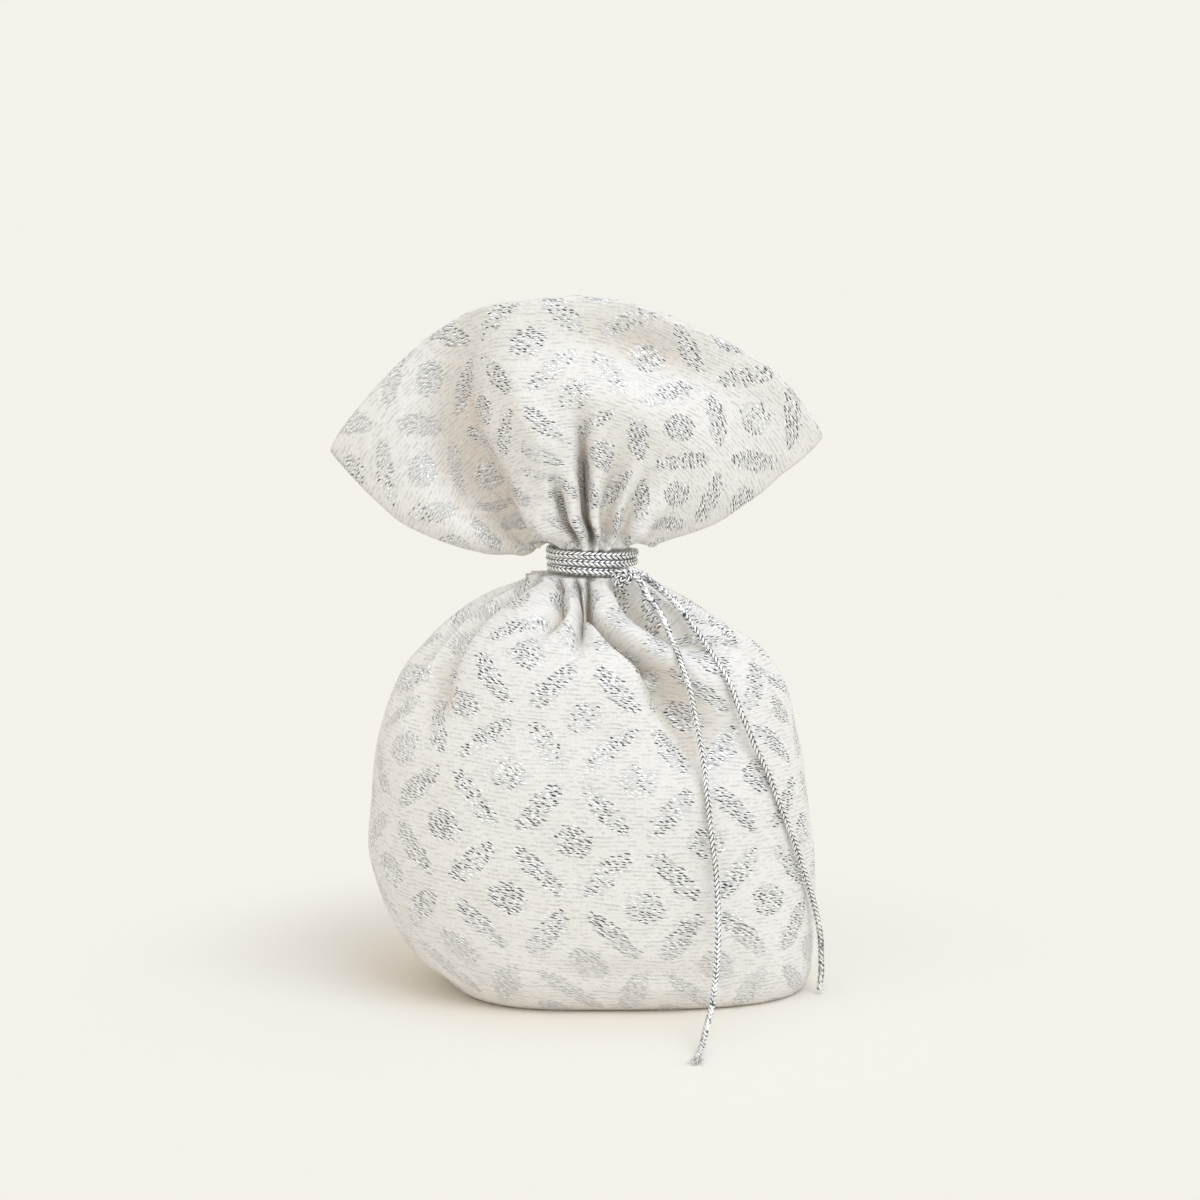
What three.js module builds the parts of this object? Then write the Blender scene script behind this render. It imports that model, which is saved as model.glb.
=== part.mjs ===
// A small kinchaku pouch, filled and tied shut: a gathered cloth bag that stands on its flat base,
// with a silver cord wound round its neck, a knot at the front right and two free cord ends.
// Millimetres, +Z up, front towards -Y. The origin is on the base plane, under the middle of the neck.
import * as THREE from "three";
import { mergeVertices } from "three/addons/utils/BufferGeometryUtils.js";

const { clamp, lerp, smoothstep, degToRad } = THREE.MathUtils;

// Cord and clearances
const cordDiameter = 0.95;
const cordSides = 8;
const clearance = 0.3; // between solids that touch on the real pouch
const turnPitch = cordDiameter + 0.03; // fall of the wound cord in one turn
const stepsPerTurn = 16;
const wrapTurns = 2.75;
const wrapStartDegrees = 45; // the winding starts at the back and ends beside the knot
const knotRadius = 1.05;
const knotRelief = 0.18; // height of its strands
const knotDegrees = -59; // where it sits round the neck, from +X towards the front
const knotRise = 0.25; // its middle above the lower end of the neck
const tailStep = 2.4; // length of one step of a free end

// Cloth
const wall = 0.9; // the cloth and its turned hem, measured front to back at the open rim
const neckRadius = 4.6; // the gathered bundle under the cord
const neckBottom = 52.3; // height at which the cloth enters the cord
const neckHeight = wrapTurns * turnPitch + cordDiameter + 2 * clearance; // the part that the cord covers
const pleatDepth = 1.0; // of every gather, where the cord holds it

// Filled body: its greatest reach from the neck's axis on each side
const bellyLeft = 28.4;
const bellyRight = 28.3;
const bellyFront = 19.2;
const bellyBack = 19.2;

// Flared top: the cloth above the cord opens like a fan
const fanRadius = 30.8; // from the neck to the rim, at the middle
const fanHalfDepth = 6.6; // front and back layers stand this far from the middle sheet
const rimHalfGap = 4.6; // the same, at the open rim
const pocketStart = 0.42; // share of the fan below which the layers are pressed together
const seamInset = 0.045; // share of the panel's width that the side seams take up

// Resolution of the cloth solid
const gatherColumns = 6; // columns of points across one gather

const neckTop = neckBottom + neckHeight;
const wrapRadius = neckRadius + clearance + cordDiameter / 2;
const wrapTop = neckTop - clearance - cordDiameter / 2;
const frontFall = (turnPitch * (270 - wrapStartDegrees)) / 360; // the winding stands this much lower in front
const knotReach = wrapRadius + cordDiameter / 2 + clearance + knotRadius + knotRelief;
const knotPlace = new THREE.Vector3(
  knotReach * Math.cos(degToRad(knotDegrees)),
  knotReach * Math.sin(degToRad(knotDegrees)),
  neckBottom + knotRise,
);

// Routes of the two free ends, from the knot down over the belly to the standing surface. Each row is a share
// of bellyRight, of bellyFront and of neckBottom.
const frontTailRoute = [
  [0.216, 0.391, 0.996],
  [0.241, 0.404, 0.968],
  [0.28, 0.422, 0.943],
  [0.319, 0.479, 0.904],
  [0.354, 0.578, 0.863],
  [0.382, 0.696, 0.825],
  [0.417, 0.758, 0.77],
  [0.438, 0.778, 0.716],
  [0.473, 0.848, 0.614],
  [0.491, 0.903, 0.537],
  [0.512, 0.938, 0.431],
  [0.53, 0.95, 0.349],
  [0.537, 0.99, 0.275],
  [0.537, 1.073, 0.214],
  [0.53, 1.193, 0.161],
  [0.516, 1.318, 0.115],
  [0.498, 1.453, 0.077],
  [0.473, 1.583, 0.043],
  [0.452, 1.714, 0.018],
  [0.435, 1.839, 0.01],
];
const sideTailRoute = [
  [0.219, 0.312, 1.01],
  [0.269, 0.307, 0.99],
  [0.336, 0.323, 0.96],
  [0.397, 0.352, 0.926],
  [0.445, 0.406, 0.89],
  [0.495, 0.492, 0.853],
  [0.548, 0.589, 0.812],
  [0.594, 0.661, 0.774],
  [0.629, 0.699, 0.723],
  [0.668, 0.706, 0.675],
  [0.707, 0.7, 0.624],
  [0.757, 0.675, 0.569],
  [0.807, 0.645, 0.5],
  [0.883, 0.576, 0.39],
  [0.933, 0.51, 0.308],
  [0.979, 0.427, 0.228],
  [1.009, 0.375, 0.147],
  [1.018, 0.365, 0.084],
  [1.018, 0.375, 0.046],
  [1.011, 0.396, 0.01],
];
// The ways in which they leave the knot.
const frontTailExit = new THREE.Vector3(1, -0.4, 0.25);
const sideTailExit = new THREE.Vector3(1, 0.5, 0.75);

// Outline of the filled body, from the base up. Height is a share of neckBottom, and each reach a share of
// the belly's on that side; square is the section's exponent, 2 for an ellipse.
const bodyOutline = [
  { up: 0.0, left: 0.56, right: 0.94, front: 0.77, back: 0.75, square: 2.9 },
  { up: 0.012, left: 0.61, right: 0.965, front: 0.83, back: 0.81, square: 2.8 },
  { up: 0.035, left: 0.67, right: 0.98, front: 0.88, back: 0.86, square: 2.7 },
  { up: 0.1, left: 0.81, right: 0.99, front: 0.94, back: 0.91, square: 2.5 },
  { up: 0.21, left: 0.945, right: 1.0, front: 0.98, back: 0.96, square: 2.35 },
  { up: 0.33, left: 1.0, right: 0.995, front: 1.0, back: 0.99, square: 2.3 },
  { up: 0.47, left: 0.98, right: 0.965, front: 0.99, back: 1.0, square: 2.25 },
  { up: 0.61, left: 0.945, right: 0.925, front: 0.95, back: 0.97, square: 2.2 },
  { up: 0.745, left: 0.86, right: 0.855, front: 0.87, back: 0.89, square: 2.15 },
  { up: 0.835, left: 0.74, right: 0.72, front: 0.75, back: 0.77, square: 2.1 },
  { up: 0.91, left: 0.575, right: 0.51, front: 0.58, back: 0.61, square: 2.05 },
  { up: 0.957, left: 0.43, right: 0.36, front: 0.44, back: 0.46, square: 2.0 },
  { up: 0.985, left: 0.295, right: 0.25, front: 0.33, back: 0.34, square: 2.0 },
];

// Outline of the fan. Angles are degrees above +X seen from the front, at each share of the way to the rim.
const fanLeftEdge = [
  { at: 0, degrees: 180 },
  { at: 0.055, degrees: 203 },
  { at: 0.1, degrees: 206 },
  { at: 0.2, degrees: 194 },
  { at: 0.38, degrees: 185.5 },
  { at: 0.48, degrees: 181.5 },
  { at: 0.7, degrees: 173.5 },
  { at: 1, degrees: 160.8 },
];
const fanRightEdge = [
  { at: 0, degrees: 0 },
  { at: 0.055, degrees: -20 },
  { at: 0.13, degrees: -3 },
  { at: 0.34, degrees: 4.3 },
  { at: 0.5, degrees: 8.2 },
  { at: 0.62, degrees: 13 },
  { at: 0.74, degrees: 16.5 },
  { at: 1, degrees: 23.6 },
];
// Rim radius as a share of fanRadius, from the left corner to the right one.
const fanRim = [
  { at: 0, reach: 1.125 },
  { at: 0.12, reach: 1.066 },
  { at: 0.34, reach: 1.033 },
  { at: 0.41, reach: 0.996 },
  { at: 0.51, reach: 0.983 },
  { at: 0.64, reach: 0.956 },
  { at: 0.72, reach: 0.954 },
  { at: 0.86, reach: 1.0 },
  { at: 1, reach: 1.023 },
];

// The gathers of each panel, from its left seam to its right one. neck and top are where the groove lies at
// the lower and the upper end of the neck, as shares of the panel's width. Down the body it runs to low,
// over the share down of neckBottom, and is wide and deep (mm). Up the fan it runs to high, over the share
// out of the fan, with one width on its left side and one on its right, is sunk (mm) and keeps the depth
// rim (mm) at the open rim.
const frontGathers = [
  { neck: 0.04, top: 0.04, low: 0.06, down: 0.2, wide: 0.03, deep: 1.5,
    high: 0.1, out: 0.45, left: 0.03, right: 0.03, sunk: 0.8, rim: 0 },
  { neck: 0.13, top: 0.12, low: 0.2, down: 0.42, wide: 0.04, deep: 3.4,
    high: 0.3, out: 1.0, left: 0.11, right: 0.04, sunk: 7.0, rim: 1.6 },
  { neck: 0.29, top: 0.4, low: 0.39, down: 0.15, wide: 0.028, deep: 3.0,
    high: 0.35, out: 0.4, left: 0.02, right: 0.024, sunk: 3.6, rim: 0 },
  { neck: 0.4, top: 0.5, low: 0.478, down: 0.2, wide: 0.022, deep: 3.0,
    high: 0.5, out: 0.66, left: 0.022, right: 0.02, sunk: 4.6, rim: 0 },
  { neck: 0.475, top: 0.57, low: 0.665, down: 0.5, wide: 0.034, deep: 3.9,
    high: 0.72, out: 0.55, left: 0.035, right: 0.05, sunk: 3.4, rim: 0 },
  { neck: 0.67, top: 0.68, low: 0.75, down: 0.2, wide: 0.065, deep: 4.4,
    high: 0.85, out: 0.5, left: 0.03, right: 0.04, sunk: 1.8, rim: 0 },
  { neck: 0.91, top: 0.91, low: 0.92, down: 0.36, wide: 0.035, deep: 1.8,
    high: 0.95, out: 0.5, left: 0.03, right: 0.03, sunk: 0.9, rim: 0 },
];
const backGathers = [
  { neck: 0.06, top: 0.06, low: 0.07, down: 0.3, wide: 0.03, deep: 1.6,
    high: 0.08, out: 0.5, left: 0.03, right: 0.03, sunk: 1.0, rim: 0 },
  { neck: 0.2, top: 0.2, low: 0.2, down: 0.46, wide: 0.035, deep: 2.8,
    high: 0.24, out: 1.0, left: 0.05, right: 0.06, sunk: 4.4, rim: 1.0 },
  { neck: 0.35, top: 0.35, low: 0.35, down: 0.22, wide: 0.03, deep: 2.4,
    high: 0.37, out: 0.5, left: 0.03, right: 0.03, sunk: 3.0, rim: 0 },
  { neck: 0.5, top: 0.5, low: 0.49, down: 0.3, wide: 0.028, deep: 2.6,
    high: 0.5, out: 0.4, left: 0.024, right: 0.024, sunk: 3.8, rim: 0 },
  { neck: 0.64, top: 0.64, low: 0.66, down: 0.5, wide: 0.036, deep: 3.2,
    high: 0.67, out: 1.0, left: 0.07, right: 0.05, sunk: 4.6, rim: 1.2 },
  { neck: 0.79, top: 0.79, low: 0.78, down: 0.24, wide: 0.035, deep: 2.4,
    high: 0.81, out: 0.55, left: 0.04, right: 0.04, sunk: 2.2, rim: 0 },
  { neck: 0.93, top: 0.93, low: 0.93, down: 0.32, wide: 0.03, deep: 1.7,
    high: 0.93, out: 0.5, left: 0.03, right: 0.03, sunk: 1.0, rim: 0 },
];

// Broad waves of the fan. Each is centred at a share across and a share out, spreads over those shares, and
// moves the cloth towards the back by its depth in mm. The sway moves both layers, the others the front one.
const sway = [
  { across: 0.02, spread: 0.09, out: 0.42, length: 0.24, depth: -3.4 },
  { across: 0.19, spread: 0.075, out: 0.48, length: 0.24, depth: 3.0 },
  { across: 0.27, spread: 0.11, out: 0.82, length: 0.3, depth: 3.0 },
  { across: 0.45, spread: 0.14, out: 0.8, length: 0.4, depth: -1.4 },
  { across: 1.0, spread: 0.2, out: 0.9, length: 0.4, depth: 1.6 },
];
const frontWaves = [
  { across: 0.36, spread: 0.05, out: 0.55, length: 0.32, depth: -2.1 },
  { across: 0.62, spread: 0.15, out: 0.84, length: 0.1, depth: 2.3 },
  { across: 0.64, spread: 0.12, out: 0.62, length: 0.12, depth: -1.9 },
];

// Smooth value of a table's column at x: a cubic through its rows, level at both ends.
function through(table, column, key, x) {
  let i = 0;
  while (i < table.length - 2 && x > table[i + 1][column]) i++;
  const [a, b] = [table[i], table[i + 1]];
  const before = table[Math.max(i - 1, 0)];
  const after = table[Math.min(i + 2, table.length - 1)];
  const span = b[column] - a[column];
  const slope = (from, to) => (to[key] - from[key]) / (to[column] - from[column]);
  const t = clamp((x - a[column]) / span, 0, 1);
  const startSlope = slope(before, b) * span;
  const endSlope = slope(a, after) * span;
  const [t2, t3] = [t * t, t * t * t];
  return (
    (2 * t3 - 3 * t2 + 1) * a[key] +
    (t3 - 2 * t2 + t) * startSlope +
    (3 * t2 - 2 * t3) * b[key] +
    (t3 - t2) * endSlope
  );
}

const bell = (x) => Math.exp(-x * x);

const gathersOf = (front) => (front ? frontGathers : backGathers);

// Where the groove lies at a share down the body, and at a share out along the fan.
const bodyCentre = (gather, down) => lerp(gather.neck, gather.low, Math.min((down / gather.down) * 1.5, 1));
const fanCentre = (gather, out) => lerp(gather.top, gather.high, Math.min(out * 1.05, 1));

// The columns of points follow the grooves. column runs 0 to 1 over the panel and the result is the share
// across it, so that every groove keeps to its own column.
function acrossAt(gathers, column, centre) {
  const place = column * gathers.length - 0.5;
  const i = Math.floor(place);
  const from = i < 0 ? 0 : centre(gathers[i]);
  const to = i + 1 < gathers.length ? centre(gathers[i + 1]) : 1;
  const start = i < 0 ? -0.5 : i;
  const end = i + 1 < gathers.length ? i + 1 : i + 0.5;
  return lerp(from, to, (place - start) / (end - start));
}

// The plain gathers, a wave with one hollow at every groove.
const gatherWave = (gathers, column) => 0.5 - 0.5 * Math.cos(2 * Math.PI * gathers.length * column);

// One point of the body's panel.
function bodyPoint(front, column, up) {
  const gathers = gathersOf(front);
  const down = 1 - up;
  const across = acrossAt(gathers, column, (gather) => bodyCentre(gather, down));
  const row = (key) => through(bodyOutline, "up", key, up);
  const angle = Math.PI * (1 - across);
  const power = 2 / row("square");
  const [c, s] = [Math.cos(angle), Math.sin(angle)];
  const reachX = c < 0 ? bellyLeft * row("left") : bellyRight * row("right");
  const reachY = front ? -bellyFront * row("front") : bellyBack * row("back");
  const x = reachX * Math.sign(c) * Math.abs(c) ** power;
  const y = reachY * Math.max(s, 0) ** power;
  let sunk = pleatDepth * gatherWave(gathers, column) * (1 - smoothstep(down, 0, 0.13));
  for (const gather of gathers) {
    const gone = Math.min(down / gather.down, 1);
    const width = gather.wide * lerp(0.8, 1.5, gone);
    const fade = smoothstep(down, 0, 0.05) * (1 - smoothstep(gone, 0.35, 1));
    sunk += gather.deep * fade * bell((across - bodyCentre(gather, down)) / width);
  }
  // The grooves sink square to the cloth, which slopes more and more towards the neck.
  const slope = degToRad(68) * smoothstep(up, 0.76, 0.95) * (1 - smoothstep(up, 0.975, 1));
  const radius = Math.hypot(x, y);
  const kept = 1 - (sunk * Math.cos(slope)) / radius;
  return new THREE.Vector3(x * kept, y * kept, neckBottom * up - sunk * Math.sin(slope));
}

// One point of the neck, a round bundle of gathers.
function neckPoint(front, column, up) {
  const gathers = gathersOf(front);
  const angle = Math.PI * (1 - acrossAt(gathers, column, (gather) => lerp(gather.neck, gather.top, up)));
  const radius = neckRadius - pleatDepth * gatherWave(gathers, column);
  const y = radius * Math.sin(angle);
  const top = neckTop - (front ? frontFall * Math.sin(angle) : 0);
  return new THREE.Vector3(radius * Math.cos(angle), front ? -y : y, lerp(neckBottom, top, up));
}

// Sum of a list of broad waves at one place of the fan.
function waves(list, across, out) {
  let sum = 0;
  for (const wave of list) {
    sum += wave.depth * bell((across - wave.across) / wave.spread) * bell((out - wave.out) / wave.length);
  }
  return sum;
}

// One point of the fan: its place on the middle sheet, and how far the panel stands off it.
function fanPlace(front, column, out) {
  const gathers = gathersOf(front);
  const across = acrossAt(gathers, column, (gather) => fanCentre(gather, out));
  const leftAngle = through(fanLeftEdge, "at", "degrees", out);
  const rightAngle = through(fanRightEdge, "at", "degrees", out);
  const angle = degToRad(lerp(leftAngle, rightAngle, across));
  const reach = fanRadius * through(fanRim, "at", "reach", across) * out;
  const neck = neckPoint(front, column, 1);
  const settled = smoothstep(out, 0, 0.45);
  const arch = Math.sin(Math.PI * across) ** 0.6;
  let sunk = 0.9 * gatherWave(gathers, column) * smoothstep(out, 0, 0.1) * (1 - smoothstep(out, 0.15, 0.45));
  for (const gather of gathers) {
    const off = across - fanCentre(gather, out);
    const gone = Math.min(out / gather.out, 1);
    const kept = lerp(gather.sunk, gather.rim, smoothstep(gone, 0.4, 1));
    sunk += kept * smoothstep(out, 0, 0.12) * bell(off / (off < 0 ? gather.left : gather.right));
  }
  if (front) sunk += waves(frontWaves, across, out);
  const bulge = lerp(fanHalfDepth, rimHalfGap, smoothstep(out, 0.45, 1)) * arch;
  const half = lerp(Math.abs(neck.y), bulge, smoothstep(out, 0, 0.055));
  const least = lerp(0.2, (wall + clearance) * arch, smoothstep(out, pocketStart - 0.12, pocketStart));
  return {
    x: neck.x * (1 - settled) + reach * Math.cos(angle),
    middle: waves(sway, across, out) * smoothstep(out, 0.1, 0.5),
    z: lerp(neck.z, neckTop, settled) + reach * Math.sin(angle),
    off: Math.max(half - sunk * arch, Math.min(least, half)),
  };
}

function fanPoint(front, column, out) {
  const place = fanPlace(front, column, out);
  return new THREE.Vector3(place.x, place.middle + (front ? -place.off : place.off), place.z);
}

// The inside of the open fan, one wall in from the outside and clear of the side seams.
function pocketPoint(front, column, out) {
  const place = fanPlace(front, lerp(seamInset, 1 - seamInset, column), out);
  const seam = column === 0 || column === 1;
  const off = seam ? 0 : Math.max(place.off - wall, 0.06);
  return new THREE.Vector3(place.x, place.middle + (front ? -off : off), place.z);
}

// A closed row of points, along the front panel from the left seam and back along the other one.
const panelColumns = frontGathers.length * gatherColumns;
function rowOf(point, share) {
  const row = [];
  for (let k = 0; k < panelColumns; k++) row.push(point(true, k / panelColumns, share));
  for (let k = panelColumns; k > 0; k--) row.push(point(false, k / panelColumns, share));
  return row;
}

// The heights of the rows, as shares of the body, of the neck and of the fan.
const bodyRows = [0, 0.012, 0.035, 0.08, 0.14, 0.22, 0.31, 0.41, 0.5, 0.59, 0.67, 0.735, 0.79, 0.84, 0.88,
  0.915, 0.945, 0.97, 0.988];
const neckRows = [0, 1];
const fanRows = [0.02, 0.055, 0.12, 0.19, 0.26, 0.34, 0.42, 0.5, 0.58, 0.66, 0.74, 0.82, 0.89, 0.95, 1];
const baseRows = [0.3, 0.7];

function clothGeometry() {
  const columns = 2 * panelColumns;
  const middle = new THREE.Vector3((bellyRight - bellyLeft * bodyOutline[0].left) / 2, 0, 0);
  const edge = rowOf(bodyPoint, 0);
  const rings = [
    ...baseRows.map((share) => edge.map((point) => middle.clone().lerp(point, share))),
    ...bodyRows.map((up) => rowOf(bodyPoint, up)),
    ...neckRows.map((up) => rowOf(neckPoint, up)),
    ...fanRows.map((out) => rowOf(fanPoint, out)),
    ...fanRows.filter((out) => out >= pocketStart).reverse().map((out) => rowOf(pocketPoint, out)),
  ];
  const faces = [];
  for (let r = 0; r < rings.length - 1; r++) {
    for (let k = 0; k < columns; k++) {
      const [a, b] = [r * columns + k, r * columns + ((k + 1) % columns)];
      const [c, d] = [a + columns, b + columns];
      faces.push(a, b, d, a, d, c);
    }
  }
  const points = rings.flat();
  // The base closes on its middle point, and the bottom of the pocket closes front against back.
  const centre = points.push(middle) - 1;
  for (let k = 0; k < columns; k++) faces.push(centre, (k + 1) % columns, k);
  const last = (rings.length - 1) * columns;
  for (let k = 0; k < panelColumns; k++) {
    const [a, b] = [last + k, last + k + 1];
    const [c, d] = [last + ((columns - k) % columns), last + columns - k - 1];
    if (k > 0) faces.push(a, d, c);
    if (k < panelColumns - 1) faces.push(a, b, d);
  }
  const geometry = new THREE.BufferGeometry().setFromPoints(points);
  geometry.setIndex(faces);
  return geometry;
}

const cloth = new THREE.MeshStandardMaterial({ color: 0xe9e6e0, roughness: 0.85, metalness: 0 });
const silver = new THREE.MeshStandardMaterial({ color: 0xb9bbbd, roughness: 0.35, metalness: 0.9 });

const pouch = new THREE.Group();

function addPiece(name, geometry, material) {
  geometry.deleteAttribute("normal");
  geometry.deleteAttribute("uv");
  const mesh = new THREE.Mesh(mergeVertices(geometry, 1e-4), material);
  mesh.geometry.computeVertexNormals();
  mesh.name = name;
  pouch.add(mesh);
}

// A length of cord along a curve.
function cordGeometry(curve, steps) {
  const section = new THREE.Shape();
  for (let i = 0; i < cordSides; i++) {
    const angle = (2 * Math.PI * i) / cordSides;
    const [x, y] = [(cordDiameter / 2) * Math.cos(angle), (cordDiameter / 2) * Math.sin(angle)];
    if (i === 0) section.moveTo(x, y);
    else section.lineTo(x, y);
  }
  section.closePath();
  return new THREE.ExtrudeGeometry(section, { steps, bevelEnabled: false, extrudePath: curve });
}

function tailGeometry(exit, route) {
  const reach = knotRadius + knotRelief + clearance + 0.1;
  const start = exit.clone().setLength(reach).add(knotPlace);
  const lowest = cordDiameter / 2 + 0.05;
  const points = route.map(
    ([right, front, up]) =>
      new THREE.Vector3(right * bellyRight, -front * bellyFront, Math.max(up * neckBottom, lowest)),
  );
  const curve = new THREE.CatmullRomCurve3([start, ...points]);
  return cordGeometry(curve, Math.round(curve.getLength() / tailStep));
}

// The cord is wound down the neck from the back, round by the left, and ends beside the knot.
class WoundCord extends THREE.Curve {
  getPoint(t, target = new THREE.Vector3()) {
    const turns = wrapTurns * t;
    const angle = degToRad(wrapStartDegrees) + 2 * Math.PI * turns;
    const [x, y] = [wrapRadius * Math.cos(angle), wrapRadius * Math.sin(angle)];
    return target.set(x, y, wrapTop - turnPitch * turns);
  }
}

// The knot, drawn tight: a ball whose crossing strands stand up as ridges.
function knotGeometry() {
  const geometry = new THREE.SphereGeometry(1, 20, 12);
  geometry.deleteAttribute("normal");
  geometry.deleteAttribute("uv");
  const ball = mergeVertices(geometry, 1e-4);
  const places = ball.getAttribute("position");
  const p = new THREE.Vector3();
  for (let i = 0; i < places.count; i++) {
    p.fromBufferAttribute(places, i).normalize();
    const strand = Math.cos(3 * Math.atan2(p.z, p.x) + 4 * p.y);
    p.multiplyScalar(knotRadius + knotRelief * strand * (1 - Math.abs(p.y)));
    places.setXYZ(i, p.x + knotPlace.x, p.y + knotPlace.y, p.z + knotPlace.z);
  }
  return ball;
}

addPiece("cloth_bag", clothGeometry(), cloth);
addPiece("cord_neck_wrap", cordGeometry(new WoundCord(), wrapTurns * stepsPerTurn), silver);
addPiece("cord_knot", knotGeometry(), silver);
addPiece("cord_tail_front", tailGeometry(frontTailExit, frontTailRoute), silver);
addPiece("cord_tail_side", tailGeometry(sideTailExit, sideTailRoute), silver);

export default pouch;
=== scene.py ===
# %% [markdown]
# # A small kinchaku pouch in white brocade, tied with a silver cord
#
# This lesson builds one small gift pouch. It is filled, gathered at the neck, wound with a braided silver
# cord and knotted at the front right. The packed model gives every place and size, so each piece below
# goes where that model says. All lengths are metres, +Z is up, and the front faces -Y.

import math

import bpy
import numpy as np
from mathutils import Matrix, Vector


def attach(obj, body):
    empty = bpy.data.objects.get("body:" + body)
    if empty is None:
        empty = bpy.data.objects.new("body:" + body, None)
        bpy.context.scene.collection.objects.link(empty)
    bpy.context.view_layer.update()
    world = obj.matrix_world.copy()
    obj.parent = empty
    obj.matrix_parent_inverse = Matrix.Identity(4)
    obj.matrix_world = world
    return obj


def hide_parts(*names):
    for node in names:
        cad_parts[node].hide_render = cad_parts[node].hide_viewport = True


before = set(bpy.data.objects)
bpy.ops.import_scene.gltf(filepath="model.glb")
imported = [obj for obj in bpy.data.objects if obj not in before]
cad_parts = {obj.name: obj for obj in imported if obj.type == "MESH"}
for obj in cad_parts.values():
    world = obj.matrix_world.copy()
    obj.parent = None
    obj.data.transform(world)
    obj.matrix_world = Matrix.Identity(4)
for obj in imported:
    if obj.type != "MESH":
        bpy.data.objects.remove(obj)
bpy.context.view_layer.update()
MM = 0.001
print("nodes:", sorted(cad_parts))

# %% [markdown]
# ## The camera
#
# The photograph looks slightly down on the pouch. Straight lines on the table run nearly level, and the
# bottom of the bag curves down in the middle, which gives the height and the tilt. A long lens from a third
# of a metre away keeps the pouch in its natural proportions.

# %% Camera at the photograph's angle
CAMERA_PLACE = (1.0 * MM, -330.0 * MM, 93.0 * MM)
CAMERA_DOWN = 7.6
camera_data = bpy.data.cameras.new("photo_camera")
camera_data.lens = 79.2
camera_data.sensor_width = 36.0
camera_data.clip_start = 0.01
camera = bpy.data.objects.new("photo_camera", camera_data)
camera.location = CAMERA_PLACE
camera.rotation_euler = (math.radians(90.0 - CAMERA_DOWN), 0.0, 0.0)
bpy.context.scene.collection.objects.link(camera)
bpy.context.scene.camera = camera
print("camera is", round(camera.location.length / MM), "mm from the middle of the base")

# %% [markdown]
# ## Helpers for new pieces
#
# Every piece is a mesh made from points and faces. One helper turns them into an object, shades it smooth
# and lets it ride on the model's only body. Primitives with modifiers would be quicker to type, but the folds
# and the braid have to lie in exact places, so their points are computed.
# Cord and threads are rings of points, so a second helper lists the faces between rings and both caps.


# %% Make a piece from points and faces
def new_piece(name, points, faces):
    mesh = bpy.data.meshes.new(name)
    mesh.from_pydata(np.asarray(points, float).tolist(), [], faces)
    mesh.update()
    mesh.shade_smooth()
    piece = bpy.data.objects.new(name, mesh)
    bpy.context.scene.collection.objects.link(piece)
    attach(piece, "root")
    return piece


def tube_faces(rings, around, first=0):
    faces = []
    for ring in range(rings - 1):
        here = first + ring * around
        beyond = here + around
        for k in range(around):
            n = (k + 1) % around
            faces.append((here + k, here + n, beyond + n, beyond + k))
    faces.append(tuple(first + k for k in reversed(range(around))))
    faces.append(tuple(first + (rings - 1) * around + k for k in range(around)))
    return faces


print("a tube of 3 rings with 5 corners has", len(tube_faces(3, 5)), "faces")


# %% [markdown]
# ## The silver cord
#
# The cord is a thin braid of flat metallic thread over a cotton core, not quite one millimetre thick. Its
# strands lie in columns of small V shapes. A texture alone would look painted on at this size, and separate
# woven strands would cost far more faces. So the V shapes are relief on one tube with many rings, whose
# radius rises and falls along slanted lines that change side from one column to the next.
#
# First comes the route. A smooth curve through the chosen points is sampled at even steps, because an even
# step keeps the braid even.


# %% Even points along a smooth route
def smooth_route(points, step):
    points = np.asarray(points, float)
    ends = np.vstack([2 * points[0] - points[1], points, 2 * points[-1] - points[-2]])
    t = np.linspace(0, 1, 40, endpoint=False)[:, None]
    fine = []
    for i in range(1, len(ends) - 2):
        a, b, c, d = ends[i - 1 : i + 3]
        bend = (2 * a - 5 * b + 4 * c - d) * t**2 + (3 * b - a - 3 * c + d) * t**3
        fine.append(0.5 * (2 * b + (c - a) * t + bend))
    fine = np.vstack(fine + [points[-1:]])
    along = np.concatenate([[0], np.cumsum(np.linalg.norm(np.diff(fine, axis=0), axis=1))])
    marks = np.linspace(0, along[-1], max(int(round(along[-1] / step)), 2) + 1)
    return np.stack([np.interp(marks, along, fine[:, k]) for k in range(3)], axis=1), along[-1]


trial_route, trial_length = smooth_route([(0, 0, 0), (4, 1, 0), (8, 0, 0)], 0.5)
print("a trial route is", round(float(trial_length), 2), "long and has", len(trial_route), "points")


# %% [markdown]
# The rings need a frame that doesn't spin where the route bends. Each frame is the last one turned just
# enough to stay square to the route.


# %% Frames that travel along a route
def travelling_frames(route, first):
    ahead = np.gradient(route, axis=0)
    ahead /= np.linalg.norm(ahead, axis=1)[:, None]
    side = np.array(first, float)
    sides = []
    for forward in ahead:
        side = side - forward * side.dot(forward)
        side = side / np.linalg.norm(side)
        sides.append(side)
    sides = np.array(sides)
    return sides, np.cross(ahead, sides)


trial_sides = travelling_frames(trial_route, (0, 0, 1))[0]
print("its frames turn by", round(float(np.abs(trial_sides - trial_sides[0]).max()), 3), "from end to end")


# %% [markdown]
# The relief has two parts. A groove runs along the cord between the columns, and short slanted strands
# cross each column. The slant is a triangle wave round the cord, which makes the V.


# %% Radius of the braid
CORD = 0.95 * MM
STITCH = 0.66 * MM
ROUND = 28
COLUMNS = 4.0
SLANT = 1.2
GROOVE_DEPTH, STRAND_DEPTH = 0.16, 0.20


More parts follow.
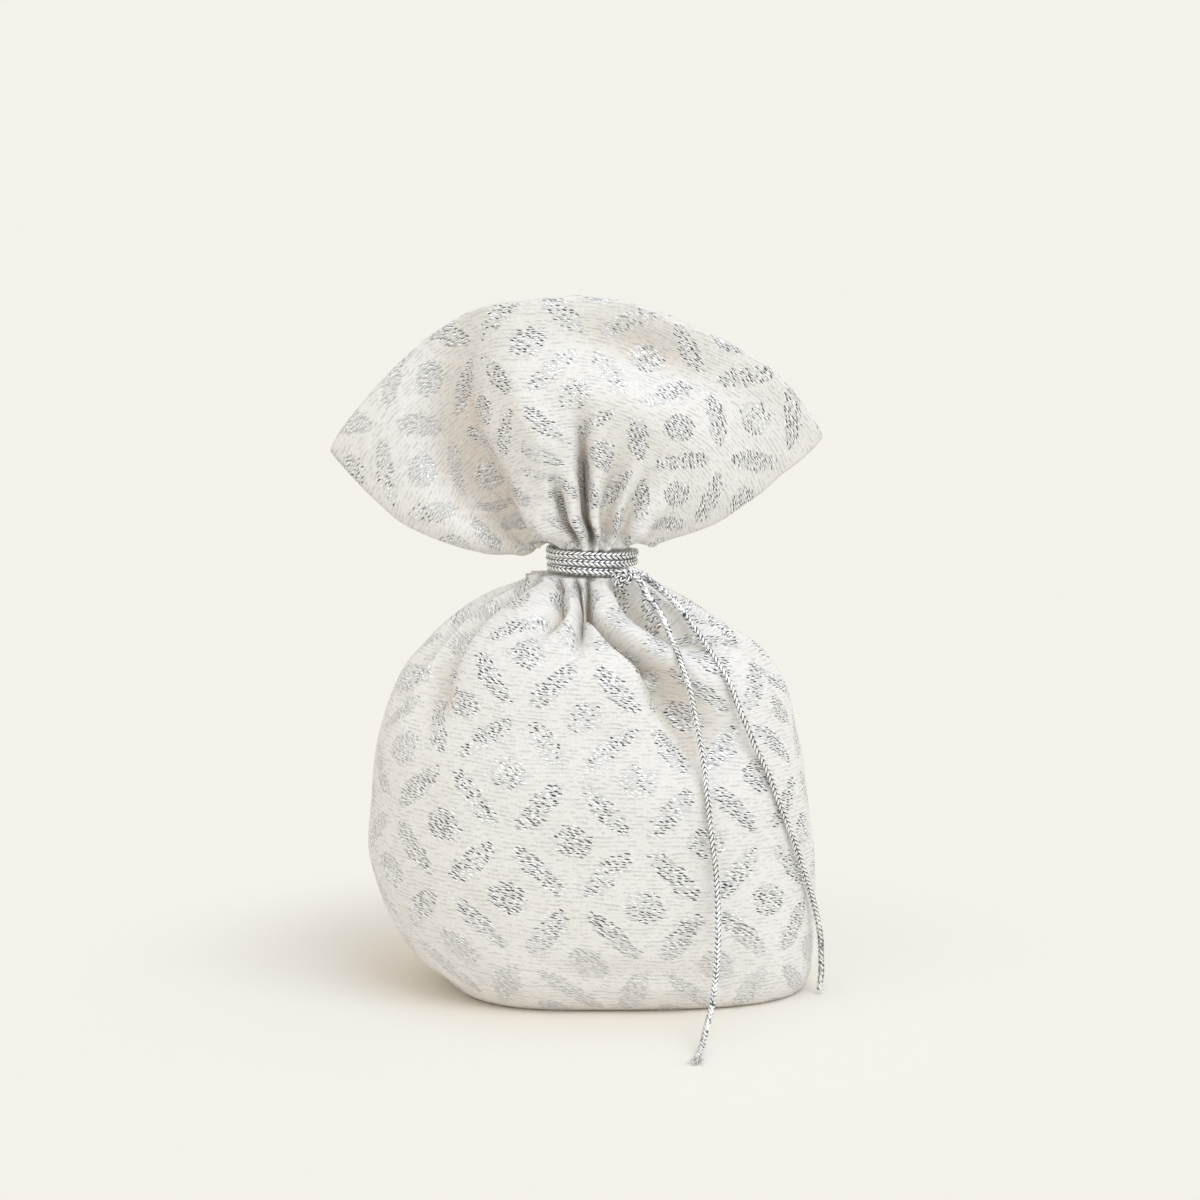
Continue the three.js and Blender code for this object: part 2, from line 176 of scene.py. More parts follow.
def braid_radius(along, turn, thick, twist, relief):
    column = (turn + twist * along) * COLUMNS
    slant = np.abs(np.mod(column, 2.0) - 1.0)
    strand = 0.5 + 0.5 * np.cos(2 * np.pi * (along / STITCH + SLANT * slant))
    groove = np.abs(np.cos(np.pi * column)) ** 6
    return thick / 2 * (1.0 - relief * (GROOVE_DEPTH * groove + STRAND_DEPTH * (1 - strand) ** 1.5))


print("the hanging braid is at most", CORD / MM, "mm thick, with a stitch every", STITCH / MM, "mm")

# %% [markdown]
# The finish has to darken the gaps between these same strands. So how far round and how far along each
# corner lies is kept as a UV map. The last face of each ring closes the circle, so its far corners count as
# a whole turn instead of none.


# %% The map of a braided tube
BRAID_MAP = 100.0


def map_braid(piece, faces, lengths, twist):
    corners = np.concatenate([np.array(faces[:-2]).ravel(), np.array(faces[-2:]).ravel()])
    index = np.arange(len(corners))
    on_side = index < 4 * (len(faces) - 2)
    far_corner = (index % 4 == 1) | (index % 4 == 2)
    whole_turn = on_side & (corners % ROUND == 0) & far_corner
    lengthwise = lengths[corners // ROUND]
    round_share = (corners % ROUND) / ROUND + whole_turn + twist * lengthwise
    uv = np.stack([round_share, lengthwise / STITCH / BRAID_MAP], axis=1)
    piece.data.uv_layers.new(name="BraidLines")
    piece.data.uv_layers["BraidLines"].data.foreach_set("uv", uv.ravel())


print("one unit of the braid's map is", BRAID_MAP, "stitches")


# %% The braided tube
RINGS_PER_STITCH = 9


def braided_tube(name, route, first, thick=CORD, twist=0.0, relief=1.0, slender=None):
    sides, ups = travelling_frames(route, first)
    along = np.concatenate([[0], np.cumsum(np.linalg.norm(np.diff(route, axis=0), axis=1))])[:, None]
    turn = (np.arange(ROUND) / ROUND)[None, :]
    radius = braid_radius(along, turn, thick, twist, relief)
    if slender is not None:
        radius = radius * np.interp(along / along[-1], *slender)
    angle = 2 * np.pi * turn
    sideways = sides[:, None, :] * (radius * np.cos(angle))[:, :, None]
    upwards = ups[:, None, :] * (radius * np.sin(angle))[:, :, None]
    rings = route[:, None, :] + sideways + upwards
    faces = tube_faces(len(route), ROUND)
    piece = new_piece(name, rings.reshape(-1, 3), faces)
    map_braid(piece, faces, along[:, 0], twist)
    print(name, "is", round(float(along[-1, 0]) / MM, 1), "mm long with", len(faces), "faces")
    return piece


# %% [markdown]
# ## The two free ends
#
# Both ends leave the knot, arch over the shoulder of the bag and hang down its front. One lies on the belly
# and bends forward to the table, because metallic braid is springy. The other slides round the right side.
# They lie exactly where the model's plain tubes lie. The braid is pulled a little thinner as it goes down.
# A simulated rope would fall its own way, so the points are the ones followed in the photograph.

# %% The front end
KNOT = np.array([3.80, -6.33, 52.55]) * MM
front_points = [
    (5.28, -6.92, 52.92), (6.1, -7.5, 52.1), (6.8, -7.8, 50.6), (7.9, -8.1, 49.3), (9.0, -9.2, 47.3),
    (10.0, -11.1, 45.1), (10.8, -13.4, 43.1), (11.8, -14.6, 40.3), (12.4, -14.9, 37.4),
    (13.4, -16.3, 32.1), (13.9, -17.3, 28.1), (14.5, -18.0, 22.5), (15.0, -18.2, 18.3),
    (15.2, -19.0, 14.4), (15.2, -20.6, 11.2), (15.0, -22.9, 8.4), (14.6, -25.3, 6.0),
    (14.1, -27.9, 4.0), (13.4, -30.4, 2.2), (12.8, -32.9, 0.9), (12.3, -35.3, 0.53),
]
SLENDER = ([0, 0.12, 0.4, 1], [0.95, 0.92, 0.84, 0.86])
front_route, front_length = smooth_route(np.array(front_points) * MM, STITCH / RINGS_PER_STITCH)
front_tail = braided_tube("cord_front_end", front_route, (1, 0, 0), twist=9.0, relief=0.55, slender=SLENDER)
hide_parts("cord_tail_front")
print("front end:", round(front_length / MM, 1), "mm")

# %% The side end
side_points = [
    (5.01, -5.72, 53.46), (6.2, -6.0, 52.8), (7.6, -5.9, 51.8), (9.5, -6.2, 50.2), (11.2, -6.8, 48.4),
    (12.6, -7.8, 46.5), (14.0, -9.4, 44.6), (15.5, -11.3, 42.5), (16.8, -12.7, 40.5),
    (17.8, -13.4, 37.8), (18.9, -13.6, 35.3), (20.0, -13.4, 32.6), (21.4, -13.0, 29.8),
    (22.8, -12.4, 26.1), (25.0, -11.1, 20.4), (26.4, -9.8, 16.1), (27.7, -8.2, 11.9),
    (28.6, -7.2, 7.7), (28.8, -7.0, 4.4), (28.8, -7.2, 2.4), (28.6, -7.6, 0.53),
]
side_route, side_length = smooth_route(np.array(side_points) * MM, STITCH / RINGS_PER_STITCH)
side_tail = braided_tube("cord_side_end", side_route, (1, 0, 0), twist=-7.0, relief=0.55, slender=SLENDER)
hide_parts("cord_tail_side")
print("side end:", round(side_length / MM, 1), "mm")

# %% [markdown]
# The cut tip of the front end has opened into a small tuft: the strands of the braid spread apart once the
# cord is cut. A cone would look solid, so it is made of separate thin threads that curve outwards, each one
# a small tapered tube, and none of them dips under the table.


# %% Threads along short curved lines
def threads(name, lines, thicknesses, corners=5):
    points, faces = [], []
    for line, thick in zip(lines, thicknesses):
        line = np.asarray(line, float)
        sides, ups = travelling_frames(line, (0.31, 0.47, 0.83))
        turns = 2 * np.pi * np.arange(corners) / corners
        taper = np.linspace(1, 0.55, len(line))[:, None, None]
        sideways = sides[:, None, :] * np.cos(turns)[None, :, None]
        ring = sideways + ups[:, None, :] * np.sin(turns)[None, :, None]
        faces += tube_faces(len(line), corners, len(points))
        points += (line[:, None, :] + ring * thick * taper).reshape(-1, 3).tolist()
    print(name, "has", len(lines), "threads")
    return new_piece(name, points, faces)


# %% The frayed tip
THREADS = 44
rng = np.random.default_rng(7)
tip = front_route[-1]
ahead = front_route[-1] - front_route[-12]
ahead /= np.linalg.norm(ahead)
across_tip = np.cross(ahead, (0, 0, 1))
across_tip /= np.linalg.norm(across_tip)
above_tip = np.cross(across_tip, ahead)
tuft_lines = []
for k in range(THREADS):
    turn = 2 * np.pi * k / THREADS + rng.uniform(-0.2, 0.2)
    spread = rng.uniform(0.1, 1.0)
    out = across_tip * math.cos(turn) * spread + above_tip * math.sin(turn) * spread * 0.55
    reach = rng.uniform(1.2, 2.5) * MM
    start = tip - ahead * 0.5 * MM + out * 0.34 * MM
    shares = np.linspace(0, 1, 7)
    line = np.array([start + ahead * reach * t + out * 0.75 * MM * t**1.4 for t in shares])
    line[:, 2] = np.maximum(line[:, 2], 0.07 * MM)
    tuft_lines.append(line)
tuft = threads("cord_frayed_tip", tuft_lines, rng.uniform(0.045, 0.075, THREADS) * MM)

free_ends = (
    (front_tail, front_route, front_length, [tuft]),
    (side_tail, side_route, side_length, []),
)
for tail, route, length, pieces in free_ends:
    route[::8].tolist() + [route[-1].tolist()]
    print(tail.name, "is declared as a limp cord")

# %% [markdown]
# ## The wound neck and the knot
#
# The same cord is wound nearly three times round the neck. It starts at the back under the fan and ends
# beside the knot. The turns lie on each other and each one wanders a little, as a hand-wound cord does. One
# helix with small waves in it gives that, where separate rings would look machined.

# %% The turns round the neck
WRAP_TURNS, WRAP_RADIUS, WRAP_TOP, WRAP_FALL = 2.75, 5.375, 55.77, 0.98
WRAP_START = 45
wrap_length = WRAP_TURNS * 2 * np.pi * WRAP_RADIUS * MM
wound = np.linspace(0, WRAP_TURNS, int(wrap_length / (STITCH / RINGS_PER_STITCH)) + 1)
angle = np.radians(WRAP_START) + 2 * np.pi * wound
reach = WRAP_RADIUS + 0.06 * np.sin(angle * 5 + 0.6) + 0.04 * np.sin(angle * 2.3)
height = WRAP_TOP - WRAP_FALL * wound + 0.045 * np.sin(angle * 3 + 1.0) + 0.04 * np.sin(angle * 1.31)
wrap_route = np.stack([reach * np.cos(angle), reach * np.sin(angle), height], axis=1) * MM
wrap = braided_tube("cord_turns", wrap_route, (0, 1, 0), thick=1.02 * MM, twist=2.0, relief=1.1)
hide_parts("cord_neck_wrap")

# %% [markdown]
# The knot is a plain overhand knot pulled tight. Its centre line is the trefoil curve, which is what an
# overhand knot becomes when its ends are joined, and the ends of the cord come out of it. The tight loop has
# little room, so the cord in it is a touch thinner and twisted harder.

# %% The knot
KNOT_TILT = math.radians(28)
s = np.linspace(0, 2 * np.pi, 420)
loop = 0.66 + 0.34 * np.cos(3 * s)
local = np.stack([loop * np.cos(2 * s) * 1.16, 0.36 * np.sin(3 * s), loop * np.sin(2 * s) * 0.9], axis=1)
cosine, sine = math.cos(KNOT_TILT), math.sin(KNOT_TILT)
knot_route = local @ np.array([[cosine, 0, sine], [0, 1, 0], [-sine, 0, cosine]]) * MM + KNOT
knot = braided_tube("cord_tight_knot", knot_route, (0, 1, 0), thick=0.88 * MM, twist=40.0, relief=1.2)
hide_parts("cord_knot")

# %% [markdown]
# ## The cloth bag
#
# The bag is one tube of cloth, sewn from a front and a back panel. Three forms follow each other: a filled
# body with a flat base, the gathered neck under the cord, and the fan above it. The model's solid has these
# forms with few faces. A cloth simulation would fold wherever it likes, and these folds have to lie where
# the photograph has them. So the same shape is computed on a fine grid whose columns follow the gathers,
# and every groove keeps sharp sides all the way.
#
# The first helper draws a smooth line through a short table.


# %% A smooth line through a table
def through(xs, ys, x):
    xs, ys, x = np.asarray(xs, float), np.asarray(ys, float), np.asarray(x, float)
    i = np.clip(np.searchsorted(xs, x, side="left") - 1, 0, len(xs) - 2)
    before, after = np.maximum(i - 1, 0), np.minimum(i + 2, len(xs) - 1)
    span = xs[i + 1] - xs[i]
    t = np.clip((x - xs[i]) / span, 0, 1)
    start = (ys[i + 1] - ys[before]) / (xs[i + 1] - xs[before]) * span
    end = (ys[after] - ys[i]) / (xs[after] - xs[i]) * span
    t2, t3 = t * t, t * t * t
    low = (2 * t3 - 3 * t2 + 1) * ys[i] + (t3 - 2 * t2 + t) * start
    return low + (3 * t2 - 2 * t3) * ys[i + 1] + (t3 - t2) * end


print("halfway through the table 0, 1, 4:", float(through([0, 1, 2], [0, 1, 4], 1.5)))

# %% [markdown]
# Three more shapes do most of the work: a soft step from 0 to 1, a blend of two values and a bell.


# %% Soft step, blend and bell
def rise(x, low, high):
    t = np.clip((np.asarray(x, float) - low) / (high - low), 0, 1)
    return t * t * (3 - 2 * t)


def mix(a, b, t):
    return a + (b - a) * t


def bell(x):
    return np.exp(-np.square(x))


print("soft step at a quarter:", float(rise(0.25, 0, 1)), "and bell at one:", round(float(bell(1.0)), 3))


# %% [markdown]
# The body's outline, from the base up. Each row gives the height as a share of the body, the reach to the
# left, right, front and back as shares of the greatest one, and how square the section is.

# %% Outline of the body
NECK_BOTTOM = 52.5
NECK_TOP = 56.45
FRONT_FALL = 0.6125
NECK_RADIUS = 4.6
BELLY = {"left": 28.4, "right": 28.3, "front": 19.2, "back": 19.2}
body_rows = np.array(
    [
        (0.0, 0.56, 0.94, 0.77, 0.75, 2.9),
        (0.012, 0.61, 0.965, 0.83, 0.81, 2.8),
        (0.035, 0.67, 0.98, 0.88, 0.86, 2.7),
        (0.1, 0.81, 0.99, 0.94, 0.91, 2.5),
        (0.21, 0.945, 1.0, 0.98, 0.96, 2.35),
        (0.33, 1.0, 0.995, 1.0, 0.99, 2.3),
        (0.47, 0.98, 0.965, 0.99, 1.0, 2.25),
        (0.61, 0.945, 0.925, 0.95, 0.97, 2.2),
        (0.745, 0.86, 0.855, 0.87, 0.89, 2.15),
        (0.835, 0.74, 0.72, 0.75, 0.77, 2.1),
        (0.91, 0.575, 0.51, 0.58, 0.61, 2.05),
        (0.957, 0.43, 0.36, 0.44, 0.46, 2.0),
        (0.985, 0.295, 0.25, 0.33, 0.34, 2.0),
    ]
)


def body_outline(column, up):
    return through(body_rows[:, 0], body_rows[:, column], up)


print("the body is", BELLY["left"] + BELLY["right"], "mm wide and", BELLY["front"] + BELLY["back"], "mm deep")


# %% [markdown]
# The fan's outline: its two side edges in degrees above +X as seen from the front, for each share of the way
# out, and the reach of its rim from the left edge to the right one.

# %% Outline of the fan
FAN_RADIUS = 30.8
left_edge = np.array(
    [(0, 180), (0.055, 203), (0.1, 206), (0.2, 194), (0.38, 185.5), (0.48, 181.5), (0.7, 173.5), (1, 160.8)]
)
right_edge = np.array(
    [(0, 0), (0.055, -20), (0.13, -3), (0.34, 4.3), (0.5, 8.2), (0.62, 13), (0.74, 16.5), (1, 23.6)]
)
rim_reach = np.array(
    [
        (0, 1.125), (0.12, 1.066), (0.34, 1.033), (0.41, 0.996), (0.51, 0.983), (0.64, 0.956),
        (0.72, 0.954), (0.86, 1.0), (1, 1.023),
    ]
)
print("the fan's rim opens over", round(float(left_edge[-1, 1] - right_edge[-1, 1])), "degrees")

# %% [markdown]
# The gathers are the folds that the cord presses into the neck. Each row is one groove: where it lies at the
# lower and the upper end of the neck, where it ends on the body, how far down, how wide and how deep. Then
# come where it ends on the fan, how far out, its widths on both sides, its depth, and the depth that it keeps
# at the rim. Three grooves in the middle of the front bend on their way down, so their places are a line.

# %% Gathers of the front and the back panel
front_gathers = np.array(
    [
        (0.04, 0.04, 0.085, 0.38, 0.028, 2.4, 0.1, 0.45, 0.03, 0.03, 0.8, 0),
        (0.13, 0.12, 0.2, 0.42, 0.04, 3.4, 0.3, 1.0, 0.11, 0.028, 7.4, 1.6),
        (0.29, 0.4, 0.39, 0.15, 0.028, 3.0, 0.35, 0.4, 0.02, 0.024, 2.8, 0),
        (0.4, 0.5, 0.478, 0.2, 0.022, 3.0, 0.5, 0.66, 0.022, 0.02, 4.6, 0),
        (0.475, 0.57, 0.665, 0.5, 0.034, 4.5, 0.72, 0.55, 0.035, 0.05, 2.3, 0),
        (0.67, 0.68, 0.75, 0.2, 0.065, 4.4, 0.85, 0.5, 0.03, 0.04, 1.8, 0),
        (0.91, 0.91, 0.92, 0.36, 0.035, 1.8, 0.95, 0.5, 0.03, 0.03, 0.9, 0),
    ]
)
back_gathers = np.array(
    [
        (0.06, 0.06, 0.07, 0.3, 0.03, 1.6, 0.08, 0.5, 0.03, 0.03, 1.0, 0),
        (0.2, 0.2, 0.2, 0.46, 0.035, 2.8, 0.24, 1.0, 0.05, 0.06, 4.4, 1.0),
        (0.35, 0.35, 0.35, 0.22, 0.03, 2.4, 0.37, 0.5, 0.03, 0.03, 3.0, 0),
        (0.5, 0.5, 0.49, 0.3, 0.028, 2.6, 0.5, 0.4, 0.024, 0.024, 3.8, 0),
        (0.64, 0.64, 0.66, 0.5, 0.036, 3.2, 0.67, 1.0, 0.07, 0.05, 4.6, 1.2),
        (0.79, 0.79, 0.78, 0.24, 0.035, 2.4, 0.81, 0.55, 0.04, 0.04, 2.2, 0),
        (0.93, 0.93, 0.93, 0.32, 0.03, 1.7, 0.93, 0.5, 0.03, 0.03, 1.0, 0),
    ]
)
LOW, TOP, END, DOWN, WIDE, DEEP, HIGH, OUT, LEFT, RIGHT, SUNK, RIM = range(12)
PLEAT = 1.0
middle_creases = {
    2: ([0, 0.02, 0.05, 0.085, 0.15], [0.29, 0.355, 0.404, 0.395, 0.385]),
    3: ([0, 0.015, 0.03, 0.08, 0.2], [0.4, 0.435, 0.462, 0.474, 0.478]),
    4: (
        [0, 0.03, 0.05, 0.07, 0.1, 0.13, 0.2, 0.333],
        [0.475, 0.484, 0.49, 0.508, 0.54, 0.568, 0.62, 0.665],
    ),
}
print("gathers in front and at the back:", len(front_gathers), len(back_gathers))

# %% [markdown]
# The grid has as many columns between two grooves as between any others, so a groove always lies on the same
# column. The helpers turn a column into a place across the panel, for each height.


# %% Columns that follow the gathers
def across_at(gathers, column, centres):
    marks = np.concatenate([[0], (np.arange(len(gathers)) + 0.5) / len(gathers), [1]])
    return np.interp(column, marks, np.concatenate([[0], centres, [1]]))


def body_centres(gathers, down):
    centres = mix(gathers[:, LOW], gathers[:, END], np.minimum(down / gathers[:, DOWN] * 1.5, 1))
    if gathers is front_gathers:
        for index, (places, shares) in middle_creases.items():
            centres[index] = np.interp(down, places, shares)
    return centres


def fan_centres(gathers, out):
    return mix(gathers[:, TOP], gathers[:, HIGH], min(out * 1.05, 1))


def gather_wave(gathers, column):
    return 0.5 - 0.5 * np.cos(2 * np.pi * len(gathers) * column)


trial_place = across_at(front_gathers, 0.5, front_gathers[:, LOW])
print("the middle column meets the neck at", round(float(trial_place), 3), "of the way across")

# %% [markdown]
# A point of the body starts on the plain section and sinks where a groove crosses it. Each groove is a wide
# soft hollow with a narrow crease along its bottom. The crease is blunt in the wide folds near the sides and
# sharp in the middle. Near the neck the cloth lies almost flat, so there the grooves sink downwards.


# %% The body's surface
def body_row(front, column, up):
    gathers = front_gathers if front else back_gathers
    down = 1 - up
    centres = body_centres(gathers, down)
    across = across_at(gathers, column, centres)
    turn = np.pi * (1 - across)
    power = 2 / body_outline(5, up)
    c, s = np.cos(turn), np.maximum(np.sin(turn), 0)
    reach_x = np.where(c < 0, BELLY["left"] * body_outline(1, up), BELLY["right"] * body_outline(2, up))
    reach_y = -BELLY["front"] * body_outline(3, up) if front else BELLY["back"] * body_outline(4, up)
    x = reach_x * np.sign(c) * np.abs(c) ** power
    y = reach_y * s**power
    sunk = PLEAT * gather_wave(gathers, column) * (1 - rise(down, 0, 0.13))
    for index, (row, centre) in enumerate(zip(gathers, centres)):
        gone = min(down / row[DOWN], 1)
        narrow = front and index in (2, 3)
        opening = mix(0.4, 1.5, rise(gone, 0.12, 0.6)) if front and index == 4 else mix(0.8, 1.4, gone)
        groove = bell((across - centre) / (row[WIDE] * opening))
        crease = bell((across - centre) / (row[WIDE] * mix(0.26, 0.5, gone)))
        fade = rise(down, 0, 0.05) * (1 - rise(gone, 0.25 if index == 5 else 0.5, 1))
        sunk = sunk + row[DEEP] * fade * (0.5 if narrow else 1.12) * groove
        sharp = 0.45 if narrow else 0.12 if index in (1, 5) else 0.3
        sunk = sunk + row[DEEP] * sharp * rise(down, 0, 0.012) * (1 - rise(gone, 0.35, 0.95)) * crease
    slope = math.radians(68) * rise(up, 0.76, 0.95) * (1 - rise(up, 0.975, 1))
    kept = 1 - sunk * np.cos(slope) / np.hypot(x, y)
    return np.stack([x * kept, y * kept, NECK_BOTTOM * up - sunk * np.sin(slope), sunk], axis=1)


trial_row = body_row(True, np.linspace(0, 1, 15), 0.5)
print("halfway up, the front lies", round(float(-trial_row[:, 1].min()), 1), "mm before the middle")

# %% [markdown]
# The neck is a narrow pleated tube inside the turns of cord. Along the top turn the cloth already spreads:
# over the last seventh of the neck its radius grows by one millimetre.


# %% The neck's surface
FLARE = 1.0


def neck_row(front, column, up):
    gathers = front_gathers if front else back_gathers
    turn = np.pi * (1 - across_at(gathers, column, mix(gathers[:, LOW], gathers[:, TOP], up)))
    wave = gather_wave(gathers, column)
    radius = NECK_RADIUS + FLARE * rise(up, 0.86, 1) - PLEAT * wave
    y = radius * np.sin(turn) * (-1 if front else 1)
    top = NECK_TOP - (FRONT_FALL * np.sin(turn) if front else 0)
    return np.stack([radius * np.cos(turn), y, mix(NECK_BOTTOM, top, up) + 0 * y, wave], axis=1)


neck_mid = neck_row(True, np.linspace(0, 1, 15), 0.5)
print("the neck is", round(float(np.ptp(neck_mid[:, 0])), 1), "mm wide inside the cord")

# %% [markdown]
# The fan is two layers of cloth that face each other. Both share a middle sheet, which sways forwards and
# backwards, and each layer stands off it by its own amount. A row of either table is one broad bell: its
# place across and outwards, its widths in both directions, and its height in millimetres.

# %% Broad waves of the fan
sway = [
    (0.02, 0.09, 0.42, 0.24, -3.4),
    (0.19, 0.075, 0.48, 0.24, 3.0),
    (0.27, 0.11, 0.82, 0.3, 3.0),
    (0.45, 0.14, 0.8, 0.4, -1.4),
    (1.0, 0.2, 0.9, 0.4, 1.6),
]
front_waves = [
    (0.36, 0.05, 0.55, 0.32, -2.1),
    (0.62, 0.15, 0.84, 0.1, 3.0),
    (0.64, 0.12, 0.62, 0.12, -1.9),
]


def waves(rows, across, out):
    return sum(d * bell((across - a) / w) * bell((out - o) / n) for a, w, o, n, d in rows)


print("sway in the fan's middle:", round(float(waves(sway, 0.5, 0.7)), 2), "mm")

# %% [markdown]
# The fan swells just above the cord, where its own gathers open, and its mouth stays open above the pocket's
# floor. The same function gives the inner wall, which lies one cloth thickness further in.


# %% The fan's surface
FAN_HALF, RIM_HALF, POCKET, WALL, GAP = 6.6, 4.6, 0.42, 0.9, 0.3


def fan_row(front, column, out, inside=False):
    gathers = front_gathers if front else back_gathers
    seam = (column <= 0) | (column >= 1)
    if inside:
        column = mix(0.045, 0.955, column)
    centres = fan_centres(gathers, out)
    across = across_at(gathers, column, centres)
    angle = np.radians(mix(through(*left_edge.T, out), through(*right_edge.T, out), across))
    reach = FAN_RADIUS * through(*rim_reach.T, across) * out
    neck = neck_row(front, column, 1)
    settled = rise(out, 0, 0.45)
    arch = np.maximum(np.sin(np.pi * across), 0) ** 0.6
    plump = rise(out, 0, 0.11)
    sunk = 1.0 * gather_wave(gathers, column) * plump * (1 - rise(out, 0.15, 0.45))
    for row, centre in zip(gathers, centres):
        off = across - centre
        kept = mix(row[SUNK], row[RIM], rise(min(out / row[OUT], 1), 0.4, 1))
        sunk = sunk + kept * rise(out, 0, 0.07) * bell(off / np.where(off < 0, row[LEFT], row[RIGHT]))
    if front:
        sunk = sunk + waves(front_waves, across, out)
    bulge = mix(FAN_HALF, RIM_HALF, rise(out, 0.45, 1)) * arch
    half = mix(np.abs(neck[:, 1]), bulge, plump)
    least = mix(0.2, (WALL + GAP) * arch, rise(out, POCKET - 0.12, POCKET))
    off = np.maximum(half - sunk * arch, np.minimum(least, half))
    if inside:
        off = np.where(seam, 0, np.maximum(off - WALL, 0.06))
    y = waves(sway, across, out) * rise(out, 0.1, 0.5) + (-off if front else off)
    x = neck[:, 0] * (1 - settled) + reach * np.cos(angle)
    return np.stack([x, y, mix(neck[:, 2], NECK_TOP, settled) + reach * np.sin(angle), sunk], axis=1)


rim = fan_row(True, np.linspace(0, 1, 15), 1.0)
print("the rim is", round(float(np.ptp(rim[:, 0])), 1), "mm wide and", round(float(rim[:, 2].max()), 1), "up")


# %% [markdown]
# Rows of points from the base to the rim, over the rounded edge and down again inside the mouth, make the
# whole bag. Each row runs along the front panel and back along the other one. The fourth number of a point
# is how deep it lies in a fold, which the finish uses later. The rows are closest where the cloth bends most:
# at the base, under the cord and just above it.

# %% The grid of the bag
PANEL = 7 * 22
column = np.arange(PANEL) / PANEL


def whole_row(maker, share, **more):
    front = maker(True, column, share, **more)
    back = maker(False, 1 - column, share, **more)
    return np.vstack([front, back])


def joined_steps(marks, counts):
    parts = [np.linspace(low, high, n)[:-1] for low, high, n in zip(marks, marks[1:], counts)]
    return np.concatenate(parts + [marks[-1:]])


body_shares = joined_steps([0, 0.1, 0.7, 0.997], [14, 52, 48])
neck_shares = np.array([0, 0.25, 0.5, 0.75, 0.9, 0.95, 1])
fan_shares = joined_steps([0.004, 0.06, 0.4, 1], [9, 32, 46])
outside = [whole_row(body_row, up) for up in body_shares]
outside += [whole_row(neck_row, up) for up in neck_shares]
outside += [whole_row(fan_row, out) for out in fan_shares]
outside = np.array(outside)
first_neck = len(body_shares)
first_fan = first_neck + len(neck_shares)
inner_shares = fan_shares[fan_shares >= POCKET][::-1][::2]
inside = np.array([whole_row(fan_row, out, inside=True) for out in inner_shares])
print("outside rows:", outside.shape, "inside rows:", inside.shape)

# %% [markdown]
# ## Flat cloth coordinates
#
# The woven pattern belongs to the flat cloth, so every point needs its place on the cloth as it lay before it
# was sewn. Across the panel that place is the share of the row's length, times the 75 mm that each panel is
# wide. Up the cloth it is the length walked along the surface. An automatic unwrap would cut the cloth into
# islands and turn them, so the threads wouldn't run on across the seams.


# %% Across the flat cloth
PANEL_WIDTH = 75.0


def flat_across(rows):
    closed = np.concatenate([rows[:, :, :3], rows[:, :1, :3]], axis=1)
    steps = np.linalg.norm(np.diff(closed, axis=1), axis=2)
    result = np.zeros(closed.shape[:2])
    for first, last in ((0, PANEL), (PANEL, 2 * PANEL)):
        along = np.concatenate([np.zeros((len(rows), 1)), np.cumsum(steps[:, first:last], axis=1)], axis=1)
        place = along[:, 1:] / along[:, -1:] * PANEL_WIDTH
        result[:, first + 1 : last + 1] = place + (0 if first == 0 else PANEL_WIDTH)
    return result


cloth_u = flat_across(outside)
print("the flat cloth is", round(float(cloth_u.max()), 1), "mm round both panels")

# %% [markdown]
# The length up the cloth is taken mostly from the typical column, because a groove's own column is longer
# and would bend the pattern. The cloth sits slightly twisted in the cord, so its threads run a little
# downhill to the right on the front. Above the neck the fan's cloth has slipped: it lies a few millimetres
# to the side and is drawn together a little.

# %% Up the flat cloth
TWIST = 1.86
lengths = np.linalg.norm(np.diff(outside[:, :, :3], axis=0), axis=2)
climbed = np.concatenate([np.zeros((1, outside.shape[1])), np.cumsum(lengths, axis=0)])
climbed -= climbed[first_neck][None, :]
typical = np.median(climbed, axis=1)[:, None]
wide_mean = np.mean([np.roll(climbed, shift, axis=1) for shift in range(-20, 21)], axis=0)
cloth_v = mix(typical, wide_mean, 0.35)
cloth_v = np.concatenate([cloth_v, cloth_v[:, :1]], axis=1)
cloth_v = cloth_v + TWIST * np.sin(np.pi * (cloth_u - PANEL_WIDTH / 2) / PANEL_WIDTH)
above = rise(np.arange(len(outside)), first_neck, first_fan)[:, None]
cloth_u = mix(cloth_u, 27.4 + (cloth_u - 33.0) * 0.988, above)
cloth_v = mix(cloth_v, 29.3 + (cloth_v - 31.3) * 1.06, above)
print("cloth from base edge to rim:", round(float(typical[-1, 0] - typical[0, 0]), 1), "mm")

# %% [markdown]
# ## The small folds
#
# The cloth is a thick, soft jacquard. Between the big folds it is never quite even: the filling pushes
# shallow swellings into it, and the cord pulls fine creases out of the neck. A displacement modifier can't
# tell the shoulder from the belly, so the points are moved here: a smooth noise over the flat coordinates, a
# fraction of a millimetre high, moves each one along its own normal.


# %% Smooth noise and normals on the grid
def soft_noise(x, y, seed, period):
    heights = np.random.default_rng(seed).uniform(-1, 1, (64, period))
    i, j = np.floor(y).astype(int), np.floor(x).astype(int)
    fy, fx = rise(y - i, 0, 1), rise(x - j, 0, 1)
    low = mix(heights[i % 64, j % period], heights[i % 64, (j + 1) % period], fx)
    high = mix(heights[(i + 1) % 64, j % period], heights[(i + 1) % 64, (j + 1) % period], fx)
    return mix(low, high, fy)


def grid_normals(rows):
    along = np.roll(rows, -1, axis=1) - np.roll(rows, 1, axis=1)
    up = np.gradient(rows, axis=0)
    normal = np.cross(along, up)
    return normal / np.maximum(np.linalg.norm(normal, axis=2, keepdims=True), 1e-9)


def noise_over(size_u, size_v, seed):
    period = int(round(2 * PANEL_WIDTH / size_u))
    across = cloth_u[:, :-1] / (2 * PANEL_WIDTH) * period
    return soft_noise(across, cloth_v[:, :-1] / size_v + 40, seed, period)


